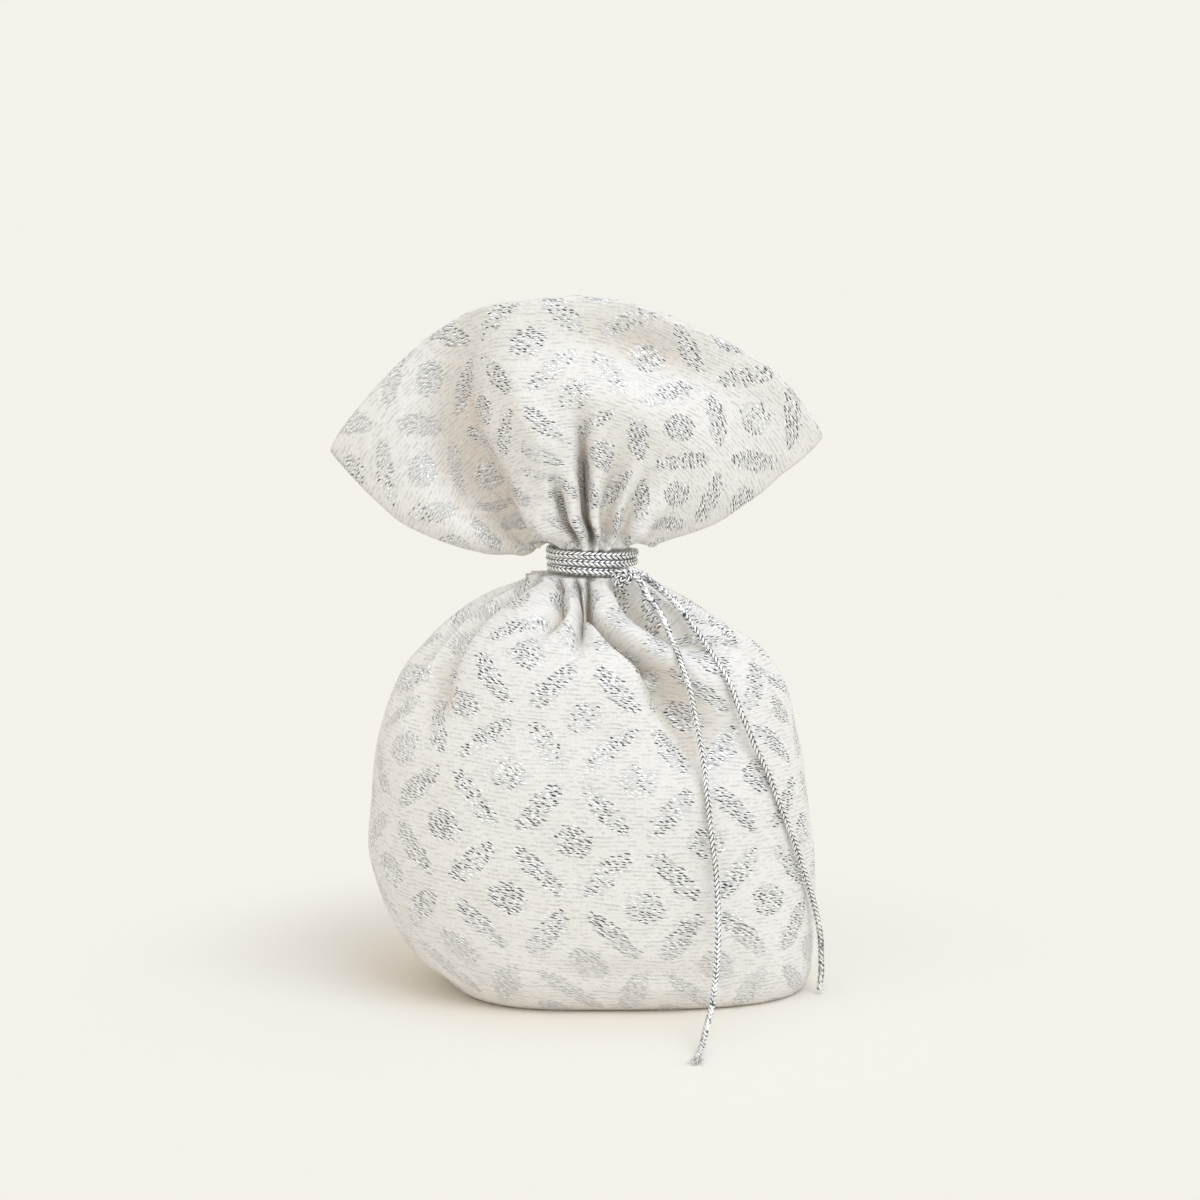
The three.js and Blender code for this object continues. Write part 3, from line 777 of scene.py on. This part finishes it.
print("noise over 10 mm swellings reaches", round(float(noise_over(10, 9, 1).max()), 2))

# %% [markdown]
# The body swells between the base and the neck, is drawn into fine creases on the shoulder, and sags into
# soft folds just above the table. The fan has its own swellings, and the same fine creases above the cord.

# %% Swellings and creases
row_index = np.arange(len(outside))
down = np.where(row_index < first_neck, 1 - np.pad(body_shares, (0, len(outside) - first_neck)), 0)[:, None]
out = np.where(row_index >= first_fan, np.pad(fan_shares, (first_fan, 0)), 0)[:, None]
body, fan = (row_index < first_neck)[:, None], (row_index >= first_fan)[:, None]
height = outside[:, :, 2]
swell = 0.30 * noise_over(10, 9, 1) + 0.14 * noise_over(4.2, 4, 2)
drawn = 0.26 * noise_over(3.0, 9, 3) + 0.12 * noise_over(1.7, 6, 4)
sagged = 0.30 * noise_over(9, 2.6, 5) * rise(height, 0.3, 3) * (1 - rise(height, 5, 11))
fan_swell = 0.30 * noise_over(8, 7, 6) + 0.12 * noise_over(3.5, 3.5, 7)
moved = body * (swell * rise(height, 0.4, 6) * rise(down, 0.02, 0.2) + sagged)
moved = moved + body * drawn * rise(down, 0.01, 0.06) * (1 - rise(down, 0.12, 0.4))
moved = moved + fan * fan_swell * rise(out, 0.1, 0.4)
moved = moved + fan * drawn * rise(out, 0.03, 0.08) * (1 - rise(out, 0.15, 0.5))
print("small folds reach", round(float(np.abs(moved).max()), 2), "mm")

# %% [markdown]
# One short crease runs level across the left shoulder, where the cloth was pinched. It has a place of its
# own, so it is added to the moves before the points take them.

# %% The level crease, and the move
CREASE_HEIGHT, CREASE_RISE, CREASE_DEPTH = 43.7, 0.03, 0.34
x_of, front_side = outside[:, :, 0], (np.arange(2 * PANEL) < PANEL)[None, :]
crease = bell((height - CREASE_HEIGHT - CREASE_RISE * (x_of + 4)) / 0.5)
crease = crease * rise(x_of, -8.4, -6.4) * (1 - rise(x_of, -2.6, -0.8))
moved = moved - CREASE_DEPTH * crease * body * front_side
normals = grid_normals(outside[:, :, :3])
outside[:, :, :3] += normals * moved[:, :, None]
print("crease points:", int((crease * body * front_side > 0.5).sum()))

# %% [markdown]
# The rim isn't quite even: its line wavers by a quarter of a millimetre either way. The last rows are pushed
# outwards along the cloth, which leaves the folds below as they are.

# %% The uneven rim
outward = outside[-1, :, :3] - outside[-4, :, :3]
outward /= np.linalg.norm(outward, axis=1)[:, None]
ragged = (0.22 * noise_over(3.0, 9, 8) + 0.12 * noise_over(1.2, 9, 9)) * fan * rise(out, 0.86, 1)
outside[:, :, :3] += outward[None] * ragged[:, :, None]
print("the rim wavers by", round(float(np.ptp(ragged[-1])), 2), "mm")

# %% [markdown]
# At the left, a short tongue of cloth has slipped out from under the lowest turn of the cord. It is a small
# blunt swelling on the shoulder.

# %% The slipped tongue
TONGUE_HEIGHT = 0.7
tongue = rise(x_of, -8.8, -5.2) * bell((outside[:, :, 1] + 1.9) / 0.6)
outside[:, :, 2] += TONGUE_HEIGHT * tongue * body * (down < 0.2) * (1 - rise(x_of, -5.4, -4.2))
print("tongue points:", int((tongue * body > 0.5).sum()))

# %% [markdown]
# ## From rows to one mesh
#
# Two rings close the base, and five more round the rim over into the inner wall, so the cloth has a real
# thickness at its edge. Each added ring also gets its place on the flat cloth.

# %% Rings of the base, the rim and the inner wall
EDGE_BULGE = 0.38
HEM_STEP = 0.3
middle = (BELLY["right"] - BELLY["left"] * body_rows[0, 1]) / 2
base = [outside[0] * (s, s, 1, 1) + np.array([middle * (1 - s), 0, 0, 0]) for s in (0.35, 0.7)]
outer, inner, lower = outside[-1, :, :3], inside[0, :, :3], outside[-2, :, :3]
outward = outer - lower
outward /= np.linalg.norm(outward, axis=1)[:, None]
edge = []
for s in (0.14, 0.32, 0.5, 0.68, 0.86):
    bulge = outward * EDGE_BULGE * math.sin(math.pi * s)
    place = mix(outer, inner, (1 - math.cos(math.pi * s)) / 2) + bulge
    edge.append(np.hstack([place, outside[-1, :, 3:]]))
rings = np.concatenate([np.array(base), outside, np.array(edge), inside])
base_u = np.repeat(cloth_u[:1], len(base), axis=0)
edge_u = np.repeat(cloth_u[-1:], len(edge), axis=0)
ring_u = np.concatenate([base_u, cloth_u, edge_u, flat_across(inside)])
hem_v = cloth_v[-1:] + HEM_STEP * np.arange(1, len(edge) + 1)[:, None]
inner_v = hem_v[-1:] + HEM_STEP + (1 - inner_shares)[:, None] * FAN_RADIUS
ring_v = np.concatenate([cloth_v[:1] - 12, cloth_v[:1] - 6, cloth_v, hem_v, inner_v])
print("rings in the bag:", len(rings), "with", rings.shape[1], "points each")

# %% [markdown]
# Four points make a face, and each face's corners take their places on the flat cloth. A face on the inner
# wall is marked, because the inside of the mouth is plain cloth. The mark starts at the last ring of the
# rounded edge.

# %% Faces of the cloth
count = 2 * PANEL
first_inside = len(base) + len(outside) + len(edge) - 2
faces, uvs, is_inside = [], [], []
for r in range(len(rings) - 1):
    for k in range(count):
        n = (k + 1) % count
        faces.append((r * count + k, r * count + n, (r + 1) * count + n, (r + 1) * count + k))
        uvs += [(ring_u[r, k], ring_v[r, k]), (ring_u[r, k + 1], ring_v[r, k + 1])]
        uvs += [(ring_u[r + 1, k + 1], ring_v[r + 1, k + 1]), (ring_u[r + 1, k], ring_v[r + 1, k])]
        is_inside.append(r >= first_inside)
print("faces between the rings:", len(faces))

# %% [markdown]
# One flat face closes the base. At the pocket's floor the two inner walls meet, so a strip of small faces
# joins the front column to the back column beside it.

# %% Close the base and the pocket, and make the bag
faces.append(tuple(reversed(range(count))))
uvs += [(5.0 * k, -20.0) for k in range(count)]
is_inside.append(False)
last = (len(rings) - 1) * count
for k in range(PANEL):
    a, b = last + k, last + k + 1
    c, d = last + (count - k) % count, last + count - k - 1
    corners = (a, b, d) if k == 0 else (a, b, c) if k == PANEL - 1 else (a, b, d, c)
    faces.append(corners)
    uvs += [(ring_u[-1, k], ring_v[-1, k])] * len(corners)
    is_inside.append(True)
bag = new_piece("brocade_bag", rings[:, :, :3].reshape(-1, 3) * MM, faces)
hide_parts("cloth_bag")
print("the bag has", len(bag.data.polygons), "faces")

# %% [markdown]
# The mesh keeps three things for its finish: the flat cloth as a UV map, which faces are inside, and how deep
# each point lies in a fold, which sets the painted shade in the folds.

# %% What the finish reads from the bag
CLOTH_MAP = 100.0
bag.data.uv_layers.new(name="FlatCloth")
bag.data.uv_layers["FlatCloth"].data.foreach_set("uv", (np.array(uvs) / CLOTH_MAP).ravel())
bag.data.polygons.foreach_set("material_index", np.array(is_inside, int))
fold_depth = rings[:, :, 3].ravel()
bag.data.attributes.new("fold_depth", "FLOAT", "POINT").data.foreach_set("value", fold_depth)
bag.data.update()
print("deepest fold:", round(float(fold_depth.max()), 1), "mm")

# %% [markdown]
# ## Shader maths as plain expressions
#
# A material is a graph of nodes. Written as nodes, simple arithmetic gets very long. So a recipe adds any
# node from its type, its settings and its inputs, and a wire wraps a socket and turns Python's operators
# into Math nodes. Colours don't pass through those, because a Math node turns a colour grey: they have their
# own blend.


# %% A recipe that adds nodes
class Recipe:
    def __init__(self, material):
        material.use_nodes = True
        self.tree = material.node_tree
        self.tree.nodes.clear()

    def add(self, kind, settings=None, out=0, **inputs):
        node = self.tree.nodes.new(kind)
        for key, value in (settings or {}).items():
            if key == "ramp":
                while len(node.color_ramp.elements) < len(value):
                    node.color_ramp.elements.new(0.5)
                for element, (place, colour) in zip(node.color_ramp.elements, value):
                    element.position = place
                    element.color = (*colour, 1)
            else:
                setattr(node, key, value)
        for key, value in inputs.items():
            socket = node.inputs[int(key[1:]) if key[0] == "_" else key.replace("_", " ")]
            if isinstance(value, Wire):
                self.tree.links.new(value.socket, socket)
            else:
                socket.default_value = value
        return Wire(self, node.outputs[out]) if node.outputs else None

    def value(self, operation, *inputs, **settings):
        named = {f"_{i}": v for i, v in enumerate(inputs)}
        return self.add("ShaderNodeMath", {"operation": operation, **settings}, **named)

    def blend(self, amount, below, above, kind="MIX"):
        settings = {"data_type": "RGBA", "blend_type": kind}
        return self.add("ShaderNodeMix", settings, out=2, _0=amount, _6=below, _7=above)

    def grey(self, tone):
        return self.add("ShaderNodeCombineColor", Red=tone, Green=tone, Blue=tone)


print("a recipe can", [name for name in vars(Recipe) if not name.startswith("_")])


# %% A wire with operators
class Wire:
    def __init__(self, recipe, socket):
        self.recipe, self.socket = recipe, socket

    def output(self, name):
        return Wire(self.recipe, self.socket.node.outputs[name])

    def __add__(self, other):
        return self.recipe.value("ADD", self, other)

    def __radd__(self, other):
        return self.recipe.value("ADD", other, self)

    def __sub__(self, other):
        return self.recipe.value("SUBTRACT", self, other)

    def __rsub__(self, other):
        return self.recipe.value("SUBTRACT", other, self)

    def __mul__(self, other):
        return self.recipe.value("MULTIPLY", self, other)

    def __rmul__(self, other):
        return self.recipe.value("MULTIPLY", other, self)

    def __truediv__(self, other):
        return self.recipe.value("DIVIDE", self, other)

    def squared(self):
        return self.recipe.value("MULTIPLY", self, self)

    def floor(self):
        return self.recipe.value("FLOOR", self)

    def fract(self):
        return self.recipe.value("FRACT", self)

    def abs(self):
        return self.recipe.value("ABSOLUTE", self)

    def sin(self):
        return self.recipe.value("SINE", self)

    def least(self, other):
        return self.recipe.value("MINIMUM", self, other)

    def most(self, other):
        return self.recipe.value("MAXIMUM", self, other)

    def clamp(self):
        return self.recipe.value("ADD", self, 0.0, use_clamp=True)

    def step(self, low, high):
        settings = {"interpolation_type": "SMOOTHSTEP"}
        return self.recipe.add("ShaderNodeMapRange", settings, Value=self, From_Min=low, From_Max=high)


print("a wire knows", sum(callable(part) for part in vars(Wire).values()) - 1, "operations")

# %% [markdown]
# ## The brocade
#
# The cloth is a white jacquard. Close up it is made of short dashes, wherever a thread comes over the others.
# The ground has level rows of long soft dashes, half a millimetre apart. The pattern is woven in silver foil
# thread: small slanting dashes in denser rows. Some are painted dark and some white, as painted reflections
# of the foil. Woven threads as geometry would be millions of faces, so both are painted by the finish and
# raised by its bump.
#
# The silver dashes are laid like bricks, a third of a millimetre from row to row. Every dash has its own
# luck, three random numbers that shift and tilt it and choose its length, thickness and tone.


# %% Rows of silver dashes
PITCH, SPACING, DASH_SLANT, JITTER = 0.86, 0.33, 0.24, 0.5


def silver_dashes(recipe, u, v, half, thick, seed):
    level = v / SPACING + seed
    row = level.floor()
    stitch = u / PITCH + row * 0.5 + (row * 2.4).sin() * 0.13
    place = stitch.floor()
    cell = recipe.add("ShaderNodeCombineXYZ", X=place, Y=row, Z=float(seed))
    noise = recipe.add("ShaderNodeTexWhiteNoise", {"noise_dimensions": "3D"}, Vector=cell)
    luck = recipe.add("ShaderNodeSeparateColor", Color=noise.output("Color"))
    red, green, blue = luck.output("Red"), luck.output("Green"), luck.output("Blue")
    beside = (stitch.fract() - 0.5 + (green - 0.5) * JITTER) * PITCH
    above = (level.fract() - 0.5 + (blue - 0.5) * JITTER) * SPACING
    above = above + beside * (red * 1.2 + 0.4) * DASH_SLANT
    along_dash = (beside / (half * (blue * 0.7 + 0.65))).squared()
    across_dash = (above / (thick * (red * 0.6 + 0.7))).squared()
    centre_u = (place + 0.5 - row * 0.5) * PITCH
    centre_v = (row + (0.5 - seed)) * SPACING
    dash = (along_dash + across_dash).step(1.25, 0.6)
    return dash, (red, green, blue), (centre_u, centre_v), beside / half


print("silver dashes per square millimetre:", round(1 / (PITCH * SPACING), 1))


# %% [markdown]
# The ground's rows are less regular than bricks. A row is a thin dark line between two threads, and a noise
# that is stretched along the row breaks it into dashes of uneven length.


# %% Rows of the ground weave
ROW_SPACING = 0.52


def flat_noise(recipe, place, scale, detail):
    settings = {"noise_dimensions": "2D"}
    return recipe.add("ShaderNodeTexNoise", settings, Vector=place, Scale=scale, Detail=detail)


def woven_rows(recipe, u, v):
    level = v / ROW_SPACING
    row = level.floor()
    place = recipe.add("ShaderNodeCombineXYZ", X=u * 0.75 + row * 7.31, Y=row * 3.77)
    line = ((level.fract() - 0.5) / 0.22).squared().step(1.3, 0.1)
    return line * flat_noise(recipe, place, 1.0, 2.5).step(0.36, 0.66)


print("ground rows per centimetre:", round(10 / ROW_SPACING, 1))


# %% [markdown]
# The pattern is the old shippo figure, circles that overlap by a quarter, drawn as petals with a dot in every
# gap. Folding the coordinates at the lattice lines leaves one cell, with a dot in two corners and one petal
# between them. A dash is silver where its middle lies in a petal or a dot, so no dash is ever cut.

# %% Petals and dots
CELL_U, CELL_V = 8.05, 7.75
PATTERN_U, PATTERN_V = -35.45, 40.6


def shippo(u, v):
    fold_u = ((u / (2 * CELL_U) + 0.5).fract() - 0.5).abs() * (2 * CELL_U)
    fold_v = ((v / (2 * CELL_V) + 0.5).fract() - 0.5).abs() * (2 * CELL_V)
    dot_a = fold_u.squared() / 5.3 + fold_v.squared() / 4.3
    dot_b = (CELL_U - fold_u).squared() / 5.3 + (CELL_V - fold_v).squared() / 4.3
    size = math.hypot(CELL_U, CELL_V)
    from_u, from_v = fold_u - CELL_U / 2, fold_v - CELL_V / 2
    along = (from_v * CELL_U - from_u * CELL_V) / (size * 3.9)
    wide = (from_u * CELL_U + from_v * CELL_V) / (size * 1.3)
    petal = along.squared() + wide.squared()
    return 1 - dot_a.least(dot_b).least(petal).step(0.95, 1.05)


print("the pattern repeats every", 2 * CELL_U, "by", 2 * CELL_V, "mm")


# %% [markdown]
# The ground is a warm white, a touch darker between its rows. In the deep folds it is painted warmer and
# darker: a painted shade for light that only arrives there after bouncing off more cloth. A noise bends the
# rows a little, because soft cloth never lies straight, and a finer one makes them rough.

# %% Ground of the brocade
WHITE = (0.83, 0.808, 0.778, 1)
FOLD_SHADE_WHITE = (0.775, 0.73, 0.665, 1)


def read_cloth(recipe):
    flat = recipe.add("ShaderNodeUVMap", {"uv_map": "FlatCloth"})
    parts = recipe.add("ShaderNodeSeparateXYZ", Vector=flat)
    return flat, parts.output("X") * CLOTH_MAP, parts.output("Y") * CLOTH_MAP


brocade = bpy.data.materials.new("silver_shippo_brocade")
recipe = Recipe(brocade)
flat, u, v = read_cloth(recipe)
v = v + (flat_noise(recipe, flat, 16.0, 3.0) - 0.5) * 0.8 + (flat_noise(recipe, flat, 75.0, 2.0) - 0.5) * 0.34
streak = woven_rows(recipe, u, v)
# How deep a point lies in a fold sets how much painted shade it takes.
fold = recipe.add("ShaderNodeAttribute", {"attribute_name": "fold_depth"}, out=2).step(0.5, 3.2)
thread = flat_noise(recipe, flat, 260.0, 3.0)
cloudy = flat_noise(recipe, flat, 7.0, 2.0)
tone = 1.0 - streak * 0.13 + (thread - 0.5) * 0.20 + (cloudy - 0.5) * 0.05
ground = recipe.blend(fold, WHITE, FOLD_SHADE_WHITE)
ground = recipe.blend(1.0, ground, recipe.grey(tone), "MULTIPLY")
print("nodes in the ground:", len(brocade.node_tree.nodes))

# %% [markdown]
# In the photograph some patches of the silver are nearly all white, and elsewhere dark and white dashes lie
# side by side. These patches are painted highlights: a soft noise and five listed spots, each a place on the
# flat cloth and how far it reaches. They don't follow the lamps, so they stay when the part is turned or
# relit. In patches along the left side, and all along the base, the pattern is paler, as in the photograph.

# %% Painted highlight patches, and paler patches of foil
LIT_SPOTS = ((38, 27, 11), (43.5, -33, 6), (31, -11, 8), (8, 19, 6), (36, -26, 4))
patchy = flat_noise(recipe, flat, 11.0, 1.0)
# Painted highlights: where this is high, the silver is painted nearly all white.
lit = patchy.step(0.50, 0.74)
for spot_u, spot_v, reach in LIT_SPOTS:
    off = ((u - spot_u).squared() + (v - spot_v).squared()) / reach**2
    lit = lit.most(off.step(1.2, 0.3))
# Along the left side in patches, and all along the base, the dashes' colour shows at a quarter of its
# strength.
paler_pattern = (u.step(21, 9) * patchy.step(0.70, 0.45)).most(v.step(-50, -56))
print("lit spots on the cloth:", len(LIT_SPOTS))

# %% [markdown]
# Under the silver lies a faint grey veil, the foil that runs on the back. Over it come two layers of dashes.
# The first has the dark and the bright ones, the second adds white ones on top; their tones are painted
# reflections. Every dash also lifts the surface, with its own lean. The white dashes of the second layer
# glow faintly in their own colour: a painted glint that stands in for the sparkle of foil, and it doesn't
# follow the lamps either.

# %% Two layers of silver dashes
VEIL, VEIL_SHARE = (0.66, 0.665, 0.66, 1), 0.34
BLACK = (0, 0, 0, 1)
PALER_SHARE = 0.75
dark_and_bright = [
    (0.0, (0.012, 0.012, 0.015)), (0.46, (0.04, 0.04, 0.045)), (0.62, (0.24, 0.24, 0.24)),
    (0.80, (0.80, 0.80, 0.80)), (1.0, (1.0, 1.0, 1.0)),
]
white_only = [(0.0, (0.95, 0.95, 0.95)), (1.0, (1.0, 1.0, 1.0))]
here = shippo(u + PATTERN_U, v + PATTERN_V)
colour = recipe.blend(here * VEIL_SHARE, ground, VEIL)
relief = streak * -0.6 + thread * 0.6
foil = 0.0
layers = ((11, 0.97, 0.39, 0.074, dark_and_bright), (23.5, 0.80, 0.34, 0.088, white_only))
for seed, share, length, thick, ramp in layers:
    dash, (tint, shift, glint), (mid_u, mid_v), lean = silver_dashes(recipe, u, v, length, thick, seed)
    in_pattern = shippo(mid_u + PATTERN_U, mid_v + PATTERN_V)
    kept = dash * in_pattern * (tint + lit * 0.1).step(share + 0.06, share)
    tones = recipe.add("ShaderNodeValToRGB", {"ramp": ramp}, Fac=glint * 0.9 + lit * 0.42)
    colour = recipe.blend(kept * (1 - paler_pattern * PALER_SHARE), colour, tones)
    relief = relief + kept * (1.0 + lean * (shift - 0.5) * 2.0)
    foil = kept + foil
foil = foil.clamp()
glow = recipe.blend(kept, BLACK, tones)
print("nodes with the silver:", len(brocade.node_tree.nodes))

# %% Finish of the bag
bump = recipe.add("ShaderNodeBump", Height=relief, Strength=0.9, Distance=0.00010)
shader = recipe.add(
    "ShaderNodeBsdfPrincipled", Base_Color=colour, Roughness=0.9 - foil * 0.55, Metallic=foil * 0.6,
    Normal=bump, Emission_Color=glow, Emission_Strength=0.16,
)
recipe.add("ShaderNodeOutputMaterial", Surface=shader)
bag.data.materials.append(brocade)
print("the bag's outside is finished with", brocade.name)

# %% [markdown]
# Inside the mouth the cloth is plain: the same ground rows without any silver.

# %% The plain inside of the mouth
lining = bpy.data.materials.new("plain_cloth_inside")
recipe = Recipe(lining)
flat, u, v = read_cloth(recipe)
streak = woven_rows(recipe, u, v)
thread = flat_noise(recipe, flat, 260.0, 3.0)
tone = 1.0 - streak * 0.10 + (thread - 0.5) * 0.10
ground = recipe.blend(1.0, (0.82, 0.795, 0.75, 1), recipe.grey(tone), "MULTIPLY")
bump = recipe.add("ShaderNodeBump", Height=thread * 0.4 - streak * 0.5, Strength=0.7, Distance=0.00008)
shader = recipe.add("ShaderNodeBsdfPrincipled", Base_Color=ground, Roughness=0.9, Normal=bump)
recipe.add("ShaderNodeOutputMaterial", Surface=shader)
bag.data.materials.append(lining)
print("cloth finishes:", [m.name for m in bag.data.materials])

# %% [markdown]
# ## The silver braid's finish
#
# The braid is foil thread, painted bright on the strands and nearly black between them: the dark gaps are
# painted shade. They follow the same lines as the relief, read from the braid's own map. A fine noise breaks
# the foil up, because every strand is itself a bundle of flat threads.
#
# The same braid looks different in its three places. Round the neck it is stretched tight and its gaps are
# crisp. In the knot it is squeezed, with darker painted shade in its gaps and rougher foil. Where it hangs it
# is slack and softer, and near the knot and the tips it is painted an even, darker grey with fainter gaps: a
# painted shade, and a number says how much of it the ends take.

# %% Finish of the cord
braid_tones = [
    (0.0, (0.025, 0.025, 0.027)), (0.33, (0.27, 0.27, 0.275)), (0.52, (0.90, 0.90, 0.90)),
    (1.0, (1.0, 1.0, 1.0)),
]


def braid_finish(name, gap_shade, flecks, end_shade):
    silver = bpy.data.materials.new(name)
    recipe = Recipe(silver)
    lines = recipe.add("ShaderNodeUVMap", {"uv_map": "BraidLines"})
    parts = recipe.add("ShaderNodeSeparateXYZ", Vector=lines)
    turn, along = parts.output("X") * COLUMNS, parts.output("Y") * BRAID_MAP
    slant = ((turn / 2.0).fract() * 2.0 - 1.0).abs()
    phase = along + slant * SLANT
    gap = ((phase.fract() - 0.5).abs() * 2.0).step(0.46, 0.15)
    seam = ((turn.fract() - 0.5).abs() * 2.0).step(0.76, 0.96)
    middle = along.step(8, 30) * along.step(92, 72)
    # Gaps and seams are painted dark as painted shade; on the hanging ends that shade spreads into an even
    # grey.
    dark = gap.most(seam * 0.9) * (1 - end_shade * (1 - middle))
    where = recipe.add("ShaderNodeTexCoord", out=3)
    speck = recipe.add("ShaderNodeTexNoise", Vector=where, Scale=3200.0, Detail=2.0)
    patch = recipe.add("ShaderNodeTexNoise", Vector=where, Scale=700.0, Detail=1.0)
    level = 1 - dark * gap_shade - (1 - middle) * end_shade * 0.62
    light = (level + (speck - 0.5) * flecks + (patch - 0.5) * 0.9).clamp()
    tone = recipe.add("ShaderNodeValToRGB", {"ramp": braid_tones}, Fac=light)
    bump = recipe.add("ShaderNodeBump", Height=speck, Strength=0.5, Distance=0.00004)
    shader = recipe.add(
        "ShaderNodeBsdfPrincipled", Base_Color=tone, Roughness=0.34, Metallic=0.75, Normal=bump
    )
    recipe.add("ShaderNodeOutputMaterial", Surface=shader)
    return silver


tight = braid_finish("silver_braid_tight", 1.25, 2.2, 0.0)
knotted = braid_finish("silver_braid_knotted", 1.6, 3.0, 0.0)
hanging = braid_finish("silver_braid_hanging", 1.05, 1.5, 0.75)
for piece, finish in ((front_tail, hanging), (side_tail, hanging), (wrap, tight), (knot, knotted)):
    piece.data.materials.append(finish)
    print(piece.name, "takes", finish.name)

# %% [markdown]
# The tuft's threads are so fine that light passes between and through them. They look paler than the braid,
# so they get their own finish, with the fine bright and dark flecks of foil.

# %% Finish of the loose threads
loose = bpy.data.materials.new("loose_foil_threads")
recipe = Recipe(loose)
where = recipe.add("ShaderNodeTexCoord", out=3)
speck = recipe.add("ShaderNodeTexNoise", Vector=where, Scale=2600.0, Detail=2.0)
thread_tones = [(0.3, (0.50, 0.50, 0.49)), (0.5, (0.85, 0.84, 0.82)), (0.7, (0.98, 0.97, 0.95))]
tone = recipe.add("ShaderNodeValToRGB", {"ramp": thread_tones}, Fac=speck)
shader = recipe.add("ShaderNodeBsdfPrincipled", Base_Color=tone, Roughness=0.5, Metallic=speck * 0.2)
recipe.add("ShaderNodeOutputMaterial", Surface=shader)
tuft.data.materials.append(loose)
print(tuft.name, "takes", loose.name)

# %% [markdown]
# ## The table, the background and the light
#
# The photograph has a plain warm white table and background with hardly a line between them. A real backdrop
# would need a curved sheet and its own light. Here the table is a real matt surface near the pouch, where it
# takes the shadow. Right under the pouch its colour is painted a little darker and warmer: a painted warm
# shade for light that bounces off the cloth. Further out it fades to the background's own colour, which only
# the camera sees.

# %% Table
BACKGROUND = (0.905, 0.885, 0.825, 1)
TABLE_HALF = 3.0
table = bpy.data.objects.new("table", bpy.data.meshes.new("table"))
table_corners = [(x * TABLE_HALF, y * TABLE_HALF, 0) for x, y in ((-1, -1), (1, -1), (1, 1), (-1, 1))]
table.data.from_pydata(table_corners, [], [(0, 1, 2, 3)])
bpy.context.scene.collection.objects.link(table)
print("the table is", 2 * TABLE_HALF, "m wide")

# %% Finish of the table
# Close to the pouch the table's colour is painted darker and warmer, as painted shade.
NEAR_SHADE_WHITE, FAR_WHITE = (0.85, 0.80, 0.705, 1), (0.862, 0.842, 0.79, 1)
table_finish = bpy.data.materials.new("warm_white_table")
recipe = Recipe(table_finish)
where = recipe.add("ShaderNodeTexCoord", out=3)
away = recipe.add("ShaderNodeVectorMath", {"operation": "LENGTH"}, out=1, _0=where)
camera_ray = recipe.add("ShaderNodeLightPath", out=0)
paper = recipe.add("ShaderNodeTexNoise", Vector=where, Scale=900.0, Detail=2.0)
matt_tone = recipe.blend(away.step(0.019, 0.036), NEAR_SHADE_WHITE, FAR_WHITE)
matt_tone = recipe.blend(1.0, matt_tone, recipe.grey((paper - 0.5) * 0.02 + 1.0), "MULTIPLY")
matt = recipe.add("ShaderNodeBsdfPrincipled", Base_Color=matt_tone, Roughness=0.9)
far_off = recipe.add("ShaderNodeEmission", Color=BACKGROUND, Strength=1.0)
both = recipe.add("ShaderNodeMixShader", _0=away.step(0.037, 0.072) * camera_ray, _1=matt, _2=far_off)
recipe.add("ShaderNodeOutputMaterial", Surface=both)
table.data.materials.append(table_finish)
print("table finish:", table_finish.name)

# %% [markdown]
# Most of the light is a soft white room, slightly warm. The camera and the silver see the flat background
# instead, so the foil has nothing odd to mirror.

# %% The room
world = bpy.data.worlds.new("soft_room")
bpy.context.scene.world = world
recipe = Recipe(world)
path = recipe.add("ShaderNodeLightPath")
seen = path.output("Is Camera Ray") + path.output("Is Glossy Ray") + path.output("Is Transmission Ray")
room = recipe.add("ShaderNodeBackground", Color=(1.0, 0.957, 0.885, 1), Strength=0.785)
behind = recipe.add("ShaderNodeBackground", Color=BACKGROUND, Strength=1.0)
both = recipe.add("ShaderNodeMixShader", _0=seen.clamp(), _1=room, _2=behind)
recipe.add("ShaderNodeOutputWorld", Surface=both)
print("room:", world.name)

# %% [markdown]
# The shadow falls to the left and its edge is soft, so the main light is a large cool window, high at the
# front right. A weak card at the left opens the folds that turn away from it.


# %% The lamps
def lamp(name, place, size, power, colour, aim=(0, 0, 0.045)):
    data = bpy.data.lights.new(name, "AREA")
    data.size = size
    data.energy = power
    data.color = colour
    light = bpy.data.objects.new(name, data)
    light.location = place
    light.rotation_euler = (Vector(aim) - Vector(place)).to_track_quat("-Z", "Y").to_euler()
    bpy.context.scene.collection.objects.link(light)


lamp("key_window", (0.36, -0.42, 0.72), 0.75, 4.0, (0.74, 0.85, 1.0))
lamp("white_card", (-0.45, -0.38, 0.35), 0.6, 0.35, (0.85, 0.92, 1.0))
bpy.context.scene.view_settings.view_transform = "Standard"
